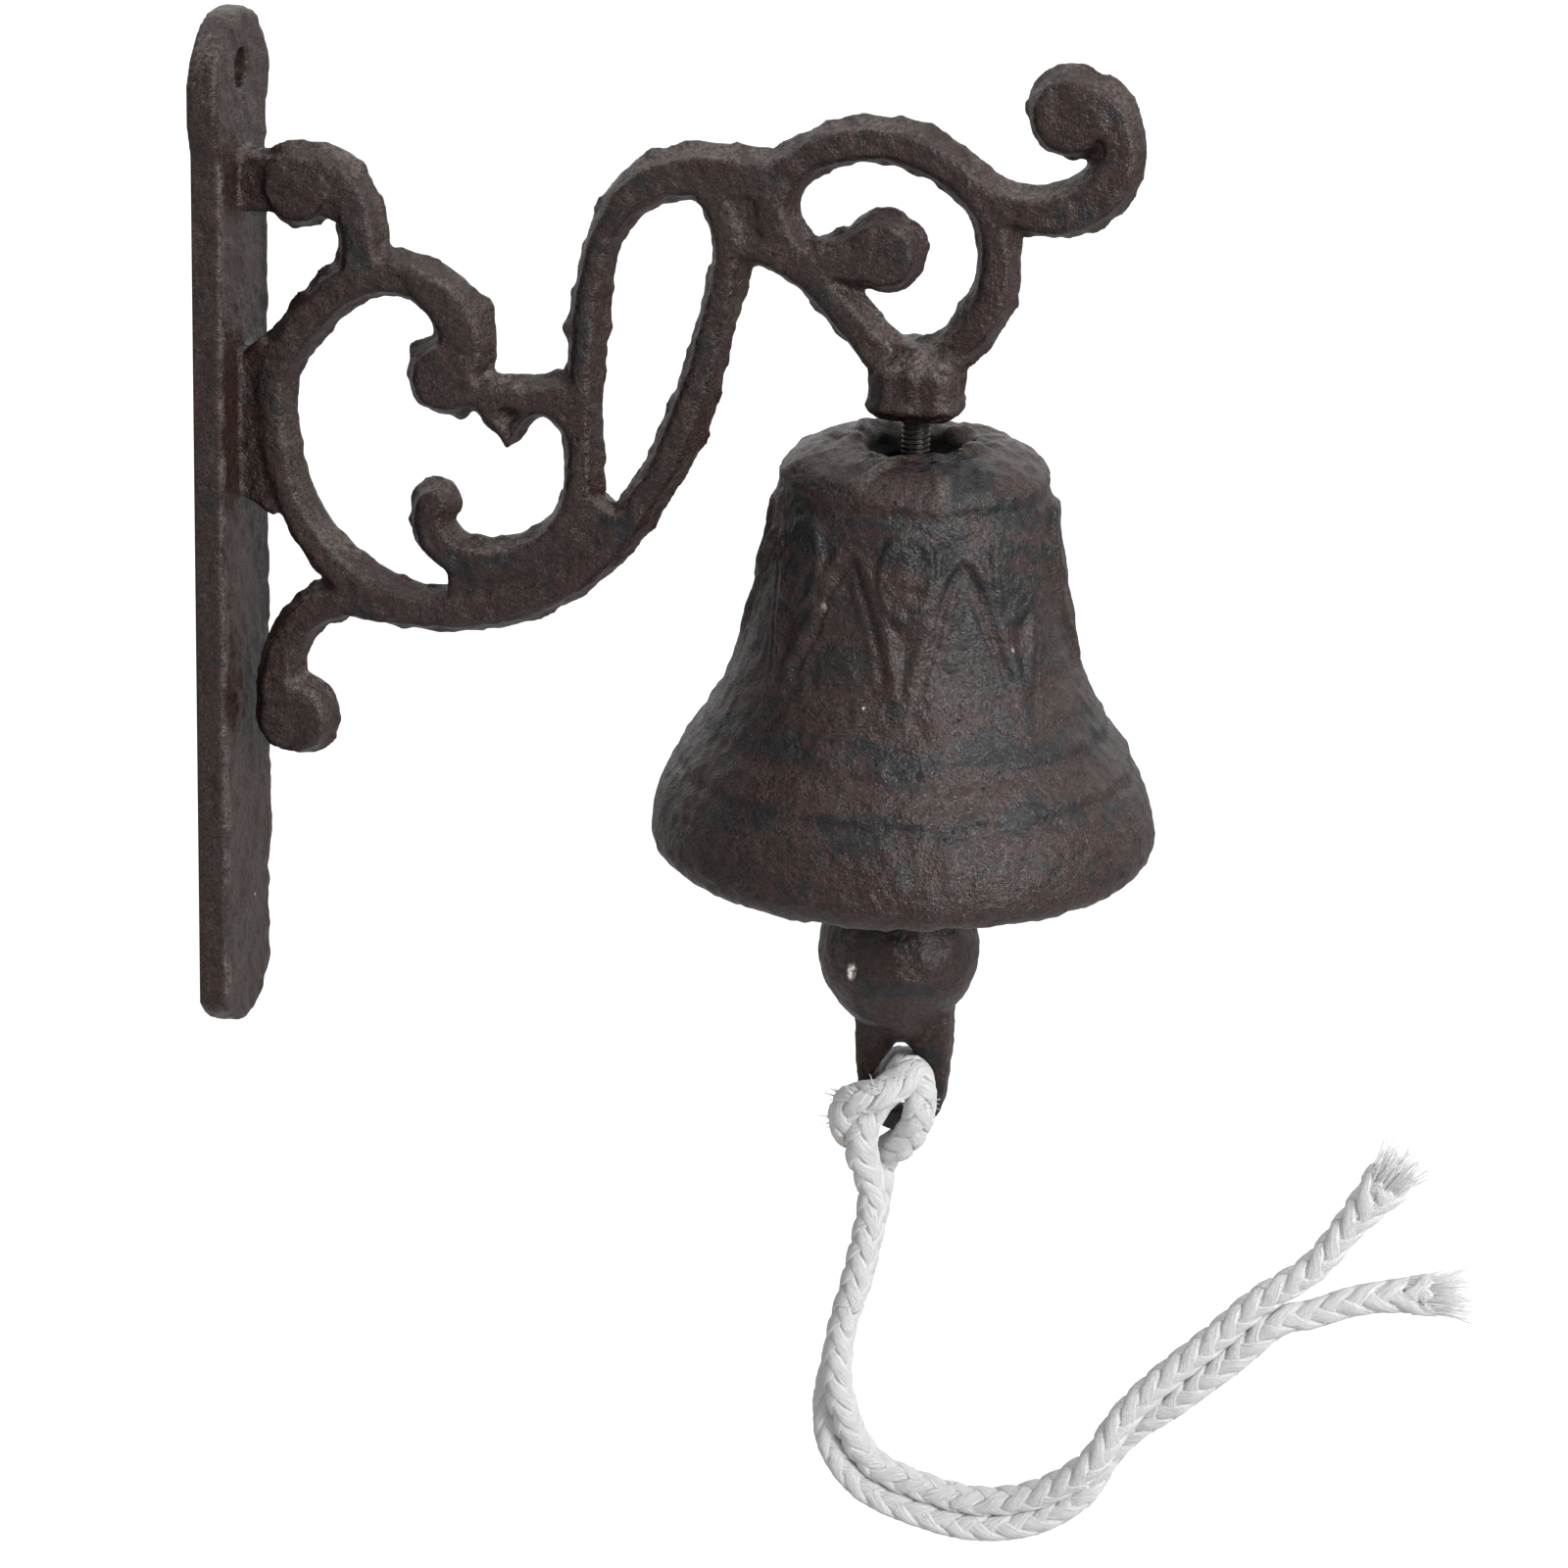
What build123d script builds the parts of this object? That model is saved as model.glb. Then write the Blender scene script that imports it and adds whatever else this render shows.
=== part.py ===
from build123d import *
import os
from math import sqrt

# Wall mounted bell: a scrollwork bracket with a loose bell, a clapper and a cord.
# Millimetres, +Z up. The origin is the centre of the screw hole on the wall plane X = 0.
# The arm reaches out along +X and lies flat in the parting plane Y = 0.

# ------------------------------------------------------------------ driving dimensions
# Wall strip and its screw lug
PLATE_THICKNESS = 6.0
PLATE_HALF_WIDTH = 15.0
PLATE_FOOT_Z = -199.0
PLATE_FOOT_ROUNDING = 7.0
LUG_HALF_WIDTH = 17.5
LUG_TOP_Z = 11.5
LUG_SHOULDER_Z = -2.0
LUG_NECK_TOP_Z = -8.0
LUG_NECK_FOOT_Z = -16.0
SCREW_HOLE_RADIUS = 4.0

# Cast scrollwork: six-sided bars, widest on the parting plane
CASTING_HALF_DEPTH = 5.3
CASTING_DRAFT = 2.3
WEB_HALF_DEPTH = 4.4
END_HALF_DEPTH = 5.6
NARROWEST_FACE = 0.8

# Boss, bolt and the common axis of the hanging parts
AXIS_X = 142.5
BOSS_TOP_Z = -44.5
BOSS_COLLAR_Z = -49.5
BOSS_SHOULDER_Z = -55.5
BOSS_FOOT_Z = -59.0
BOSS_TOP_RADIUS = 5.6
BOSS_COLLAR_RADIUS = 9.8
BOSS_SHOULDER_RADIUS = 9.6
BOSS_FOOT_RADIUS = 7.8
BOLT_RADIUS = 3.0
BOLT_DEPTH_IN_BOSS = 12.0
THREAD_RUNOUT = 1.0
THREAD_GAP = 0.02

# Bell
CROWN_TOP_Z = -64.0
BELL_HEIGHT = 84.5
MOUTH_RADIUS = 50.1
CROWN_HOLE_RADIUS = 6.0
DISH_RADIUS = 12.0
DISH_FLOOR_DROP = 4.2
CROWN_THICKNESS = 4.5
CROWN_CREST_RADIUS = 17.5
CROWN_CREST_DROP = 0.5
SHOULDER_RADIUS = 22.0
SHOULDER_DROP = 2.2
SHOULDER_SLOPE = 0.45
LIP_OUTER_RADIUS = 47.6
LIP_INNER_RADIUS = 46.0
LIP_ROUNDING = 2.2
LIP_BULGE = 0.75
CEILING_RADIUS = 17.0
CEILING_CORNER_RADIUS = 20.0
CEILING_CORNER_DROP = 1.2

# Spherical seat: bell, washer and nut share one centre, so the bell rocks about it
SEAT_CENTRE_Z = -64.8
SEAT_RADIUS = 9.0
SEAT_GAP = 0.05
SEAT_OUTER_RADIUS = 8.2
WASHER_HOLE_RADIUS = 5.8
WASHER_OUTER_RADIUS = 7.8
WASHER_THICKNESS = 1.5
NUT_FLANGE_RADIUS = 8.0
NUT_FLANGE_TOP_Z = -71.9
NUT_FLANGE_FOOT_Z = -76.0
NUT_FOOT_Z = -80.5
NUT_ACROSS_FLATS = 10.0

# Bolt eye, link and clapper loop
EYE_Z = -91.5
EYE_RING_RADIUS = 5.5
EYE_WIRE_RADIUS = 2.0
LINK_WIRE_RADIUS = 1.5
LINK_BEND_RADIUS = 4.5
LINK_BAR_SPACING = 22.0
HANG_GAP = 0.05
LOOP_RING_RADIUS = 5.7
LOOP_WIRE_RADIUS = 2.2

# Clapper
BALL_Z = -169.5
BALL_RADIUS = 16.3
SHANK_TOP_RADIUS = 3.6
SHANK_FOOT_RADIUS = 6.5
SHANK_DEPTH_IN_BALL = 2.0
NECK_TOP_RADIUS = 12.0
NECK_FOOT_RADIUS = 4.5
NECK_TOP_Z = -178.0
NECK_FOOT_Z = -188.0
STIRRUP_TOP_Z = -180.0
STIRRUP_SHIFT = 1.8
STIRRUP_HALF_WIDTH = 9.6
STIRRUP_HALF_DEPTH = 3.0
STIRRUP_TURN_Z = -199.0
STIRRUP_EYE_TOP_Z = -188.6
STIRRUP_EYE_SHOULDER_Z = -197.2
STIRRUP_EYE_FOOT_Z = -203.8
STIRRUP_EYE_HALF_WIDTH = 6.4
STIRRUP_FLANK_HALF_WIDTH = 2.9
STIRRUP_FLANK_Z = -191.6

# Doubled cotton cord
STRAND_RADIUS = 3.0
STRAND_OFFSET = 3.1
HITCH_RING_RADIUS = 6.6
HITCH_STRAND_RADIUS = 2.8

# ------------------------------------------------------------------ derived dimensions
MOUTH_Z = CROWN_TOP_Z - BELL_HEIGHT
LINK_TOP_Z = EYE_Z - EYE_RING_RADIUS + EYE_WIRE_RADIUS + LINK_WIRE_RADIUS + HANG_GAP
LINK_FOOT_Z = LINK_TOP_Z - LINK_BAR_SPACING
LOOP_Z = LINK_FOOT_Z + LINK_WIRE_RADIUS + HANG_GAP - (LOOP_RING_RADIUS - LOOP_WIRE_RADIUS)
STIRRUP_FOOT_Z = STIRRUP_TURN_Z - STIRRUP_HALF_WIDTH
STIRRUP_BAR_Z = (STIRRUP_EYE_FOOT_Z + STIRRUP_FOOT_Z) / 2

# ------------------------------------------------------------------ scrollwork centre lines
# Each bar is a smooth line through (x, z) points, with its width at each point.
SCROLL_BARS = {
    "hook": [(17.5, -21.5, 12), (24.5, -19.7, 11), (29, -24.5, 10), (30.6, -31, 10), (31, -38, 10.5)],
    "c_scroll_top": [
        (11, -68, 8), (14, -58, 9.5), (22, -47, 9.6), (28.5, -41, 10),
        (37, -38.8, 10), (45, -41, 9.8), (50.4, -47, 11.8), (51, -55, 13),
    ],
    "c_scroll_back": [
        (13, -60, 9), (13.2, -74, 9), (15, -83, 8.7),
        (20.7, -94, 9.2), (29, -102.2, 10), (41.5, -106.6, 10),
    ],
    "long_arc": [
        (26, -105, 10), (41.5, -106.7, 10), (54, -106.1, 10.2), (67, -102.2, 9), (78.6, -94.2, 8.8),
        (87, -83.5, 9.2), (94.8, -69, 9.4), (99.6, -55, 8.8), (103, -41, 8.6), (105.2, -28, 8.6), (100.5, -17.5, 8.6),
    ],
    "inner_curl": [
        (46, -84.5, 9.5), (45.8, -91.3, 10), (51.8, -95.8, 10), (61.5, -95.5, 9.6),
        (70.4, -90.2, 9), (75.4, -82, 8.6), (76.1, -73, 8), (76.1, -60, 7.6),
    ],
    "teardrop": [
        (76.2, -75.5, 7.8), (76.1, -60, 7.6), (76.5, -48, 8), (77.8, -36, 7.8),
        (81.8, -24.2, 7.8), (90, -16.2, 10.6), (101, -14, 12), (114, -14.5, 11),
    ],
    "crossbar": [(50, -61, 8.5), (62, -61.6, 8.6), (76, -60.6, 9.5)],
    "crossbar_spur": [(55, -60, 9), (58.7, -66, 7.6), (61.7, -71.6, 3.4)],
    "curl_arch": [(61.5, -70, 3), (63.6, -66, 5), (67.8, -63, 6), (72.6, -65.2, 6.4), (75.2, -71, 7)],
    "foot": [(26, -106.6, 9.5), (17, -113, 9.2), (13.5, -121.5, 10), (15, -130.5, 12)],
    "bridge_foot": [(106, -27.5, 8.6), (113, -28.4, 8.6), (121, -32.4, 8.8), (129.6, -40.6, 9.3), (137.2, -48.4, 10)],
    "ring": [
        (121.5, -30.5, 9), (115.6, -25.8, 9.6), (113.4, -18.8, 9.8), (118.7, -10.2, 9), (127.6, -6.1, 10),
        (137, -5.5, 10), (147.6, -9.3, 9.6), (155.2, -16.6, 9.3), (157.8, -25.5, 9), (156.4, -35.5, 9.4),
        (149.6, -45.2, 9.2), (142, -48.8, 9), (136.5, -47, 8),
    ],
    "ring_scroll": [(121, -29, 8), (128, -29, 11.5), (133, -27.6, 15)],
    "tip_curl": [
        (153, -13.5, 9), (163, -17, 10), (172.5, -15.5, 11.4), (179.3, -9, 11.4), (180, 0, 10), (175, 6, 10),
    ],
}

# Round ends of the scrolls: x, z and radius.
SCROLL_ENDS = {
    "hook": (18.0, -22.3, 8.6),
    "c_scroll": (48.3, -58.5, 8.5),
    "inner_curl": (46.0, -84.4, 5.0),
    "foot": (16.8, -132.0, 9.0),
    "ring": (135.4, -27.0, 8.3),
    "tip_curl": (170.7, 2.6, 9.1),
}

# Flat webs that fill the space between neighbouring bars.
SCROLL_WEBS = {
    "hook": [(4, -16), (24, -18), (30, -30), (22, -27), (4, -28)],
    "curl": [(49, -98), (49, -104), (62, -105), (79, -96), (85.5, -85.5), (82.2, -82.8), (77, -79), (72, -92)],
    "bridge": [(98, -13), (113, -12), (116, -20), (122, -31), (118, -33), (108, -29), (104, -27), (102, -18)],
    "back": [(3, -60), (11, -53), (13, -62), (15, -85), (13, -90), (3, -84)],
}

# Outside wall of the bell: drop below the crown and radius.
BELL_OUTSIDE = [(6.5, 26.2), (17.5, 28), (37, 32), (51, 36.8), (63.5, 44.3), (73, 48.9), (79, MOUTH_RADIUS)]
BELL_INSIDE = [(82, 45), (73, 43.6), (63.5, 39.6), (51, 32.6), (37, 28), (17.5, 24), (9, 21.5)]

# Centre lines of the cord's stretches, between the bends where it flexes.
CORD_UPPER_LINE = [(139, -220.5), (137.5, -237), (133.5, -253), (132, -266)]
CORD_MIDDLE_TOP_LINE = [(135.6, -275), (138.5, -282.9), (152, -288.9), (165, -289.9), (176.5, -286.4)]
CORD_MIDDLE_LOW_LINE = [(129.4, -275), (138.5, -289.1), (152, -295.1), (165, -296.1), (176.5, -292.6)]
CORD_END_TOP_LINE = [(182, -280.5), (194, -264), (211, -247), (229, -229.5), (237, -219), (244.5, -207.5)]
CORD_END_LOW_LINE = [(187, -284.5), (198.5, -269), (214, -255), (229, -241), (241, -235.5), (255, -233)]


# ------------------------------------------------------------------ shape helpers
def width_at(stations, fraction):
    """Bar width at a fraction of the way along, between the stated stations."""
    place = fraction * (len(stations) - 1)
    index = min(int(place), len(stations) - 2)
    start, end = stations[index][2], stations[index + 1][2]
    return start + (end - start) * (place - index)


def bar_outline(stations, inset, depth):
    """Closed outline of a bar on the plane Y = depth, drawn in from its full width by inset."""
    spine = Spline(*[(x, 0, z) for x, z, _ in stations])
    steps = 2 * (len(stations) - 1)
    left = []
    right = []
    for step in range(steps + 1):
        fraction = step / steps
        half = width_at(stations, fraction) / 2 - inset
        along = spine % fraction
        across = Vector(-along.Z, 0, along.X) * max(half, NARROWEST_FACE / 2)
        centre = spine @ fraction + Vector(0, depth, 0)
        left.append(centre + across)
        right.append(centre - across)
    edges = [
        Edge.make_spline(left),
        Edge.make_line(left[-1], right[-1]),
        Edge.make_spline(right[::-1]),
        Edge.make_line(right[0], left[0]),
    ]
    return Wire(edges)


def cast_bar(stations):
    """Six-sided bar: two flat faces and drafted sides that meet on the parting plane."""
    outlines = [
        bar_outline(stations, CASTING_DRAFT, -CASTING_HALF_DEPTH),
        bar_outline(stations, 0, 0),
        bar_outline(stations, CASTING_DRAFT, CASTING_HALF_DEPTH),
    ]
    return Solid.make_loft(outlines, ruled=True)


def cast_end(x, z, radius):
    """Round scroll end: two cone frusta, base to base on the parting plane."""
    face_radius = radius - CASTING_DRAFT
    front = Solid.make_cone(radius, face_radius, END_HALF_DEPTH, Plane(origin=(x, 0, z), z_dir=(0, -1, 0)))
    back = Solid.make_cone(radius, face_radius, END_HALF_DEPTH, Plane(origin=(x, 0, z), z_dir=(0, 1, 0)))
    return front + back


def cast_web(points):
    """Flat plate between bars, a little thinner than the bars."""
    outline = Face(Wire.make_polygon([Vector(x, -WEB_HALF_DEPTH, z) for x, z in points]))
    return Solid.extrude(outline, Vector(0, 2 * WEB_HALF_DEPTH, 0))


def turned(profile):
    """Solid of revolution about the hanging axis, from a closed profile in radius and z."""
    axis = Axis((AXIS_X, 0, 0), (0, 0, 1))
    return revolve(Pos(AXIS_X, 0, 0) * Face(Wire(profile)), axis)


def seat_drop(sphere_radius, radius):
    """Height of a seat sphere's underside at a distance from the axis."""
    return SEAT_CENTRE_Z - sqrt(sphere_radius**2 - radius**2)


def seat_arc(sphere_radius, start_radius, end_radius):
    """Arc of a seat sphere in the profile plane, from one radius to another."""
    middle = (start_radius + end_radius) / 2
    return Edge.make_three_point_arc(
        Vector(start_radius, 0, seat_drop(sphere_radius, start_radius)),
        Vector(middle, 0, seat_drop(sphere_radius, middle)),
        Vector(end_radius, 0, seat_drop(sphere_radius, end_radius)),
    )


def closed_profile(edges):
    """Joins profile edges end to end with straight lines where they leave gaps."""
    joined = []
    for index, edge in enumerate(edges):
        joined.append(edge)
        following = edges[(index + 1) % len(edges)]
        if (edge @ 1 - following @ 0).length > 1e-6:
            joined.append(Edge.make_line(edge @ 1, following @ 0))
    return joined


def ring(x, z, ring_radius, wire_radius):
    """Round ring standing in the XZ plane."""
    return Solid.make_torus(ring_radius, wire_radius, Plane(origin=(x, 0, z), z_dir=(0, 1, 0)))


def cord_strand(line, y=0.0):
    """Round strand along a smooth line through (x, z) points, at one depth."""
    path = Edge.make_spline([Vector(x, y, z) for x, z in line])
    start = Plane(origin=path @ 0, z_dir=path % 0)
    return Solid.sweep(Face(Wire(Edge.make_circle(STRAND_RADIUS, start))), Wire([path]))


# ------------------------------------------------------------------ sub-parts
def wall_plate():
    """Wall strip with a round screw lug at the top and a rounded foot, drilled for one screw."""
    w = PLATE_HALF_WIDTH
    lug = LUG_HALF_WIDTH
    foot_corner = PLATE_FOOT_Z + PLATE_FOOT_ROUNDING
    outline = [
        Edge.make_three_point_arc((0, -lug, LUG_SHOULDER_Z), (0, 0, LUG_TOP_Z), (0, lug, LUG_SHOULDER_Z)),
        Edge.make_line((0, lug, LUG_SHOULDER_Z), (0, lug, LUG_NECK_TOP_Z)),
        Edge.make_line((0, lug, LUG_NECK_TOP_Z), (0, w, LUG_NECK_FOOT_Z)),
        Edge.make_line((0, w, LUG_NECK_FOOT_Z), (0, w, foot_corner)),
        Edge.make_three_point_arc((0, w, foot_corner), (0, 0, PLATE_FOOT_Z), (0, -w, foot_corner)),
        Edge.make_line((0, -w, foot_corner), (0, -w, LUG_NECK_FOOT_Z)),
        Edge.make_line((0, -w, LUG_NECK_FOOT_Z), (0, -lug, LUG_NECK_TOP_Z)),
        Edge.make_line((0, -lug, LUG_NECK_TOP_Z), (0, -lug, LUG_SHOULDER_Z)),
    ]
    plate = Solid.extrude(Face(Wire(outline)), Vector(PLATE_THICKNESS, 0, 0))
    hole = Solid.make_cylinder(
        SCREW_HOLE_RADIUS, 3 * PLATE_THICKNESS, Plane(origin=(-PLATE_THICKNESS, 0, 0), z_dir=(1, 0, 0))
    )
    return plate - hole


def bolt_boss():
    """Eight-sided boss that swells out from the ring and tapers to its foot."""
    levels = [
        (BOSS_TOP_Z, BOSS_TOP_RADIUS),
        (BOSS_COLLAR_Z, BOSS_COLLAR_RADIUS),
        (BOSS_SHOULDER_Z, BOSS_SHOULDER_RADIUS),
        (BOSS_FOOT_Z, BOSS_FOOT_RADIUS),
    ]
    outlines = [Pos(AXIS_X, 0, z) * RegularPolygon(radius, 8).wire() for z, radius in levels]
    return Solid.make_loft(outlines, ruled=True)


def wall_bracket():
    """The whole bracket casting, with the blind threaded hole for the bolt."""
    casting = wall_plate()
    for stations in SCROLL_BARS.values():
        casting = casting + cast_bar(stations)
    for x, z, radius in SCROLL_ENDS.values():
        casting = casting + cast_end(x, z, radius)
    for points in SCROLL_WEBS.values():
        casting = casting + cast_web(points)
    casting = casting + bolt_boss()
    thread = Solid.make_cylinder(
        BOLT_RADIUS + THREAD_GAP, BOLT_DEPTH_IN_BOSS + THREAD_RUNOUT, Plane(origin=(AXIS_X, 0, BOSS_FOOT_Z))
    )
    return casting - thread


def bell():
    """Bell casting with a dished crown and a rounded seat around its oversize hole."""
    dish_edge = Vector(DISH_RADIUS, 0, CROWN_TOP_Z)
    dish_floor = Vector(CROWN_HOLE_RADIUS, 0, CROWN_TOP_Z - DISH_FLOOR_DROP)
    outside = [Vector(radius, 0, CROWN_TOP_Z - drop) for drop, radius in BELL_OUTSIDE]
    inside = [Vector(radius, 0, CROWN_TOP_Z - drop) for drop, radius in BELL_INSIDE]
    crest = Vector(CROWN_CREST_RADIUS, 0, CROWN_TOP_Z - CROWN_CREST_DROP)
    shoulder = Vector(SHOULDER_RADIUS, 0, CROWN_TOP_Z - SHOULDER_DROP)
    lip_side = Vector((MOUTH_RADIUS + LIP_OUTER_RADIUS) / 2 + LIP_BULGE, 0, MOUTH_Z + LIP_ROUNDING)
    lip_outer = Vector(LIP_OUTER_RADIUS, 0, MOUTH_Z)
    lip_inner = Vector(LIP_INNER_RADIUS, 0, MOUTH_Z)
    ceiling_z = CROWN_TOP_Z - CROWN_THICKNESS
    ceiling_corner = Vector(CEILING_CORNER_RADIUS, 0, ceiling_z - CEILING_CORNER_DROP)
    ceiling = Vector(CEILING_RADIUS, 0, ceiling_z)
    edges = [
        Edge.make_line(dish_floor, dish_edge),
        Edge.make_three_point_arc(dish_edge, crest, shoulder),
        Edge.make_tangent_arc(shoulder, Vector(1, 0, -SHOULDER_SLOPE), outside[0]),
        Edge.make_spline(outside),
        Edge.make_three_point_arc(outside[-1], lip_side, lip_outer),
        Edge.make_line(lip_outer, lip_inner),
        Edge.make_spline(inside),
        Edge.make_three_point_arc(inside[-1], ceiling_corner, ceiling),
        seat_arc(SEAT_RADIUS, SEAT_OUTER_RADIUS, CROWN_HOLE_RADIUS),
    ]
    return turned(closed_profile(edges))


def eye_bolt():
    """Threaded rod with a closed ring at its foot; the thread is a plain cylinder at full diameter."""
    top = BOSS_FOOT_Z + BOLT_DEPTH_IN_BOSS
    foot = EYE_Z + EYE_RING_RADIUS
    rod = Solid.make_cylinder(BOLT_RADIUS, top - foot, Plane(origin=(AXIS_X, 0, foot)))
    return rod + ring(AXIS_X, EYE_Z, EYE_RING_RADIUS, EYE_WIRE_RADIUS)


def support_nut():
    """Flanged nut with a dished top face, concentric with the bell's seat."""
    hexagon = RegularPolygon(NUT_ACROSS_FLATS / 2, 6, major_radius=False)
    hex_part = extrude(Pos(AXIS_X, 0, NUT_FOOT_Z) * hexagon, NUT_FLANGE_FOOT_Z - NUT_FOOT_Z)
    flange_height = NUT_FLANGE_TOP_Z - NUT_FLANGE_FOOT_Z
    flange_foot = Plane(origin=(AXIS_X, 0, NUT_FLANGE_FOOT_Z))
    flange = Solid.make_cylinder(NUT_FLANGE_RADIUS, flange_height, flange_foot)
    height = NUT_FLANGE_TOP_Z - NUT_FOOT_Z
    bore = Solid.make_cylinder(BOLT_RADIUS + THREAD_GAP, height, Plane(origin=(AXIS_X, 0, NUT_FOOT_Z)))
    dish = Pos(AXIS_X, 0, SEAT_CENTRE_Z) * Sphere(SEAT_RADIUS + WASHER_THICKNESS + 2 * SEAT_GAP)
    return hex_part + flange - bore - dish


def seat_washer():
    """Dished washer between nut and bell, with both faces on spheres about the seat centre."""
    top = SEAT_RADIUS + SEAT_GAP
    bottom = top + WASHER_THICKNESS
    edges = [
        seat_arc(top, WASHER_HOLE_RADIUS, WASHER_OUTER_RADIUS),
        seat_arc(bottom, WASHER_OUTER_RADIUS, WASHER_HOLE_RADIUS),
    ]
    return turned(closed_profile(edges))


def clapper_link():
    """Closed oval link in the YZ plane, through the bolt's eye and the clapper's loop."""
    r = LINK_BEND_RADIUS
    top, foot = LINK_TOP_Z - r, LINK_FOOT_Z + r
    path = Wire([
        Edge.make_three_point_arc((AXIS_X, r, top), (AXIS_X, 0, top + r), (AXIS_X, -r, top)),
        Edge.make_line((AXIS_X, -r, top), (AXIS_X, -r, foot)),
        Edge.make_three_point_arc((AXIS_X, -r, foot), (AXIS_X, 0, foot - r), (AXIS_X, r, foot)),
        Edge.make_line((AXIS_X, r, foot), (AXIS_X, r, top)),
    ])
    start = Plane(origin=path @ 0, z_dir=path % 0)
    return Solid.sweep(Face(Wire(Edge.make_circle(LINK_WIRE_RADIUS, start))), path)


def stirrup():
    """Flat lug under the ball, cast a little off centre, with an arched eye above a foot bar."""
    w, e = STIRRUP_HALF_WIDTH, STIRRUP_EYE_HALF_WIDTH
    y = -STIRRUP_HALF_DEPTH

    def at(across, z):
        return Vector(AXIS_X + STIRRUP_SHIFT + across, y, z)

    outer = Wire([
        Edge.make_line(at(-w, STIRRUP_TOP_Z), at(w, STIRRUP_TOP_Z)),
        Edge.make_line(at(w, STIRRUP_TOP_Z), at(w, STIRRUP_TURN_Z)),
        Edge.make_three_point_arc(at(w, STIRRUP_TURN_Z), at(0, STIRRUP_FOOT_Z), at(-w, STIRRUP_TURN_Z)),
        Edge.make_line(at(-w, STIRRUP_TURN_Z), at(-w, STIRRUP_TOP_Z)),
    ])
    eye = Wire([
        Edge.make_spline([
            at(-e, STIRRUP_EYE_SHOULDER_Z),
            at(-STIRRUP_FLANK_HALF_WIDTH, STIRRUP_FLANK_Z),
            at(0, STIRRUP_EYE_TOP_Z),
            at(STIRRUP_FLANK_HALF_WIDTH, STIRRUP_FLANK_Z),
            at(e, STIRRUP_EYE_SHOULDER_Z),
        ]),
        Edge.make_line(at(e, STIRRUP_EYE_SHOULDER_Z), at(e, STIRRUP_EYE_FOOT_Z)),
        Edge.make_line(at(e, STIRRUP_EYE_FOOT_Z), at(-e, STIRRUP_EYE_FOOT_Z)),
        Edge.make_line(at(-e, STIRRUP_EYE_FOOT_Z), at(-e, STIRRUP_EYE_SHOULDER_Z)),
    ])
    depth = Vector(0, 2 * STIRRUP_HALF_DEPTH, 0)
    return Solid.extrude(Face(outer), depth) - Solid.extrude(Face(eye), depth)


def clapper():
    """Clapper casting: loop, tapered shank, ball and stirrup."""
    loop_foot = LOOP_Z - LOOP_RING_RADIUS
    shank_foot = BALL_Z + BALL_RADIUS - SHANK_DEPTH_IN_BALL
    shank = Solid.make_cone(
        SHANK_FOOT_RADIUS, SHANK_TOP_RADIUS, loop_foot - shank_foot, Plane(origin=(AXIS_X, 0, shank_foot))
    )
    ball = Pos(AXIS_X, 0, BALL_Z) * Sphere(BALL_RADIUS)
    neck_height = NECK_TOP_Z - NECK_FOOT_Z
    neck_foot = Plane(origin=(AXIS_X + STIRRUP_SHIFT, 0, NECK_FOOT_Z))
    neck = Solid.make_cone(NECK_FOOT_RADIUS, NECK_TOP_RADIUS, neck_height, neck_foot)
    loop = ring(AXIS_X, LOOP_Z, LOOP_RING_RADIUS, LOOP_WIRE_RADIUS)
    return ball + shank + neck + stirrup() + loop


def cord_hitch():
    """The cord's two turns around the stirrup's foot bar."""
    turns = []
    for side in (-STRAND_OFFSET, STRAND_OFFSET):
        standing = Plane(origin=(AXIS_X + STIRRUP_SHIFT + side, 0, STIRRUP_BAR_Z), z_dir=(1, 0, 0))
        turns.append(Solid.make_torus(HITCH_RING_RADIUS, HITCH_STRAND_RADIUS, standing))
    return Compound(turns)


def cord_upper():
    """Two strands side by side across the swing, from the hitch to the first bend."""
    sides = (STRAND_OFFSET, -STRAND_OFFSET)
    return Compound([cord_strand(CORD_UPPER_LINE, side) for side in sides])


def cord_middle():
    """Two strands one above the other, around the low bight of the cord."""
    return Compound([cord_strand(CORD_MIDDLE_TOP_LINE), cord_strand(CORD_MIDDLE_LOW_LINE)])


def cord_end():
    """The two tails, which part near their ends."""
    return Compound([cord_strand(CORD_END_TOP_LINE), cord_strand(CORD_END_LOW_LINE)])


# ------------------------------------------------------------------ output
NODES = {
    "wall_bracket": wall_bracket,
    "bell": bell,
    "eye_bolt": eye_bolt,
    "support_nut": support_nut,
    "seat_washer": seat_washer,
    "clapper_link": clapper_link,
    "clapper": clapper,
    "cord_hitch": cord_hitch,
    "cord_upper": cord_upper,
    "cord_middle": cord_middle,
    "cord_end": cord_end,
}

os.makedirs("parts", exist_ok=True)
for node, build in NODES.items():
    export_step(build(), f"parts/{node}.step")
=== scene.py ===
from itertools import product
from math import cos, pi, radians, sin

import bmesh
import bpy
import numpy as np
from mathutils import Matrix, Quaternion, Vector


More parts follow.
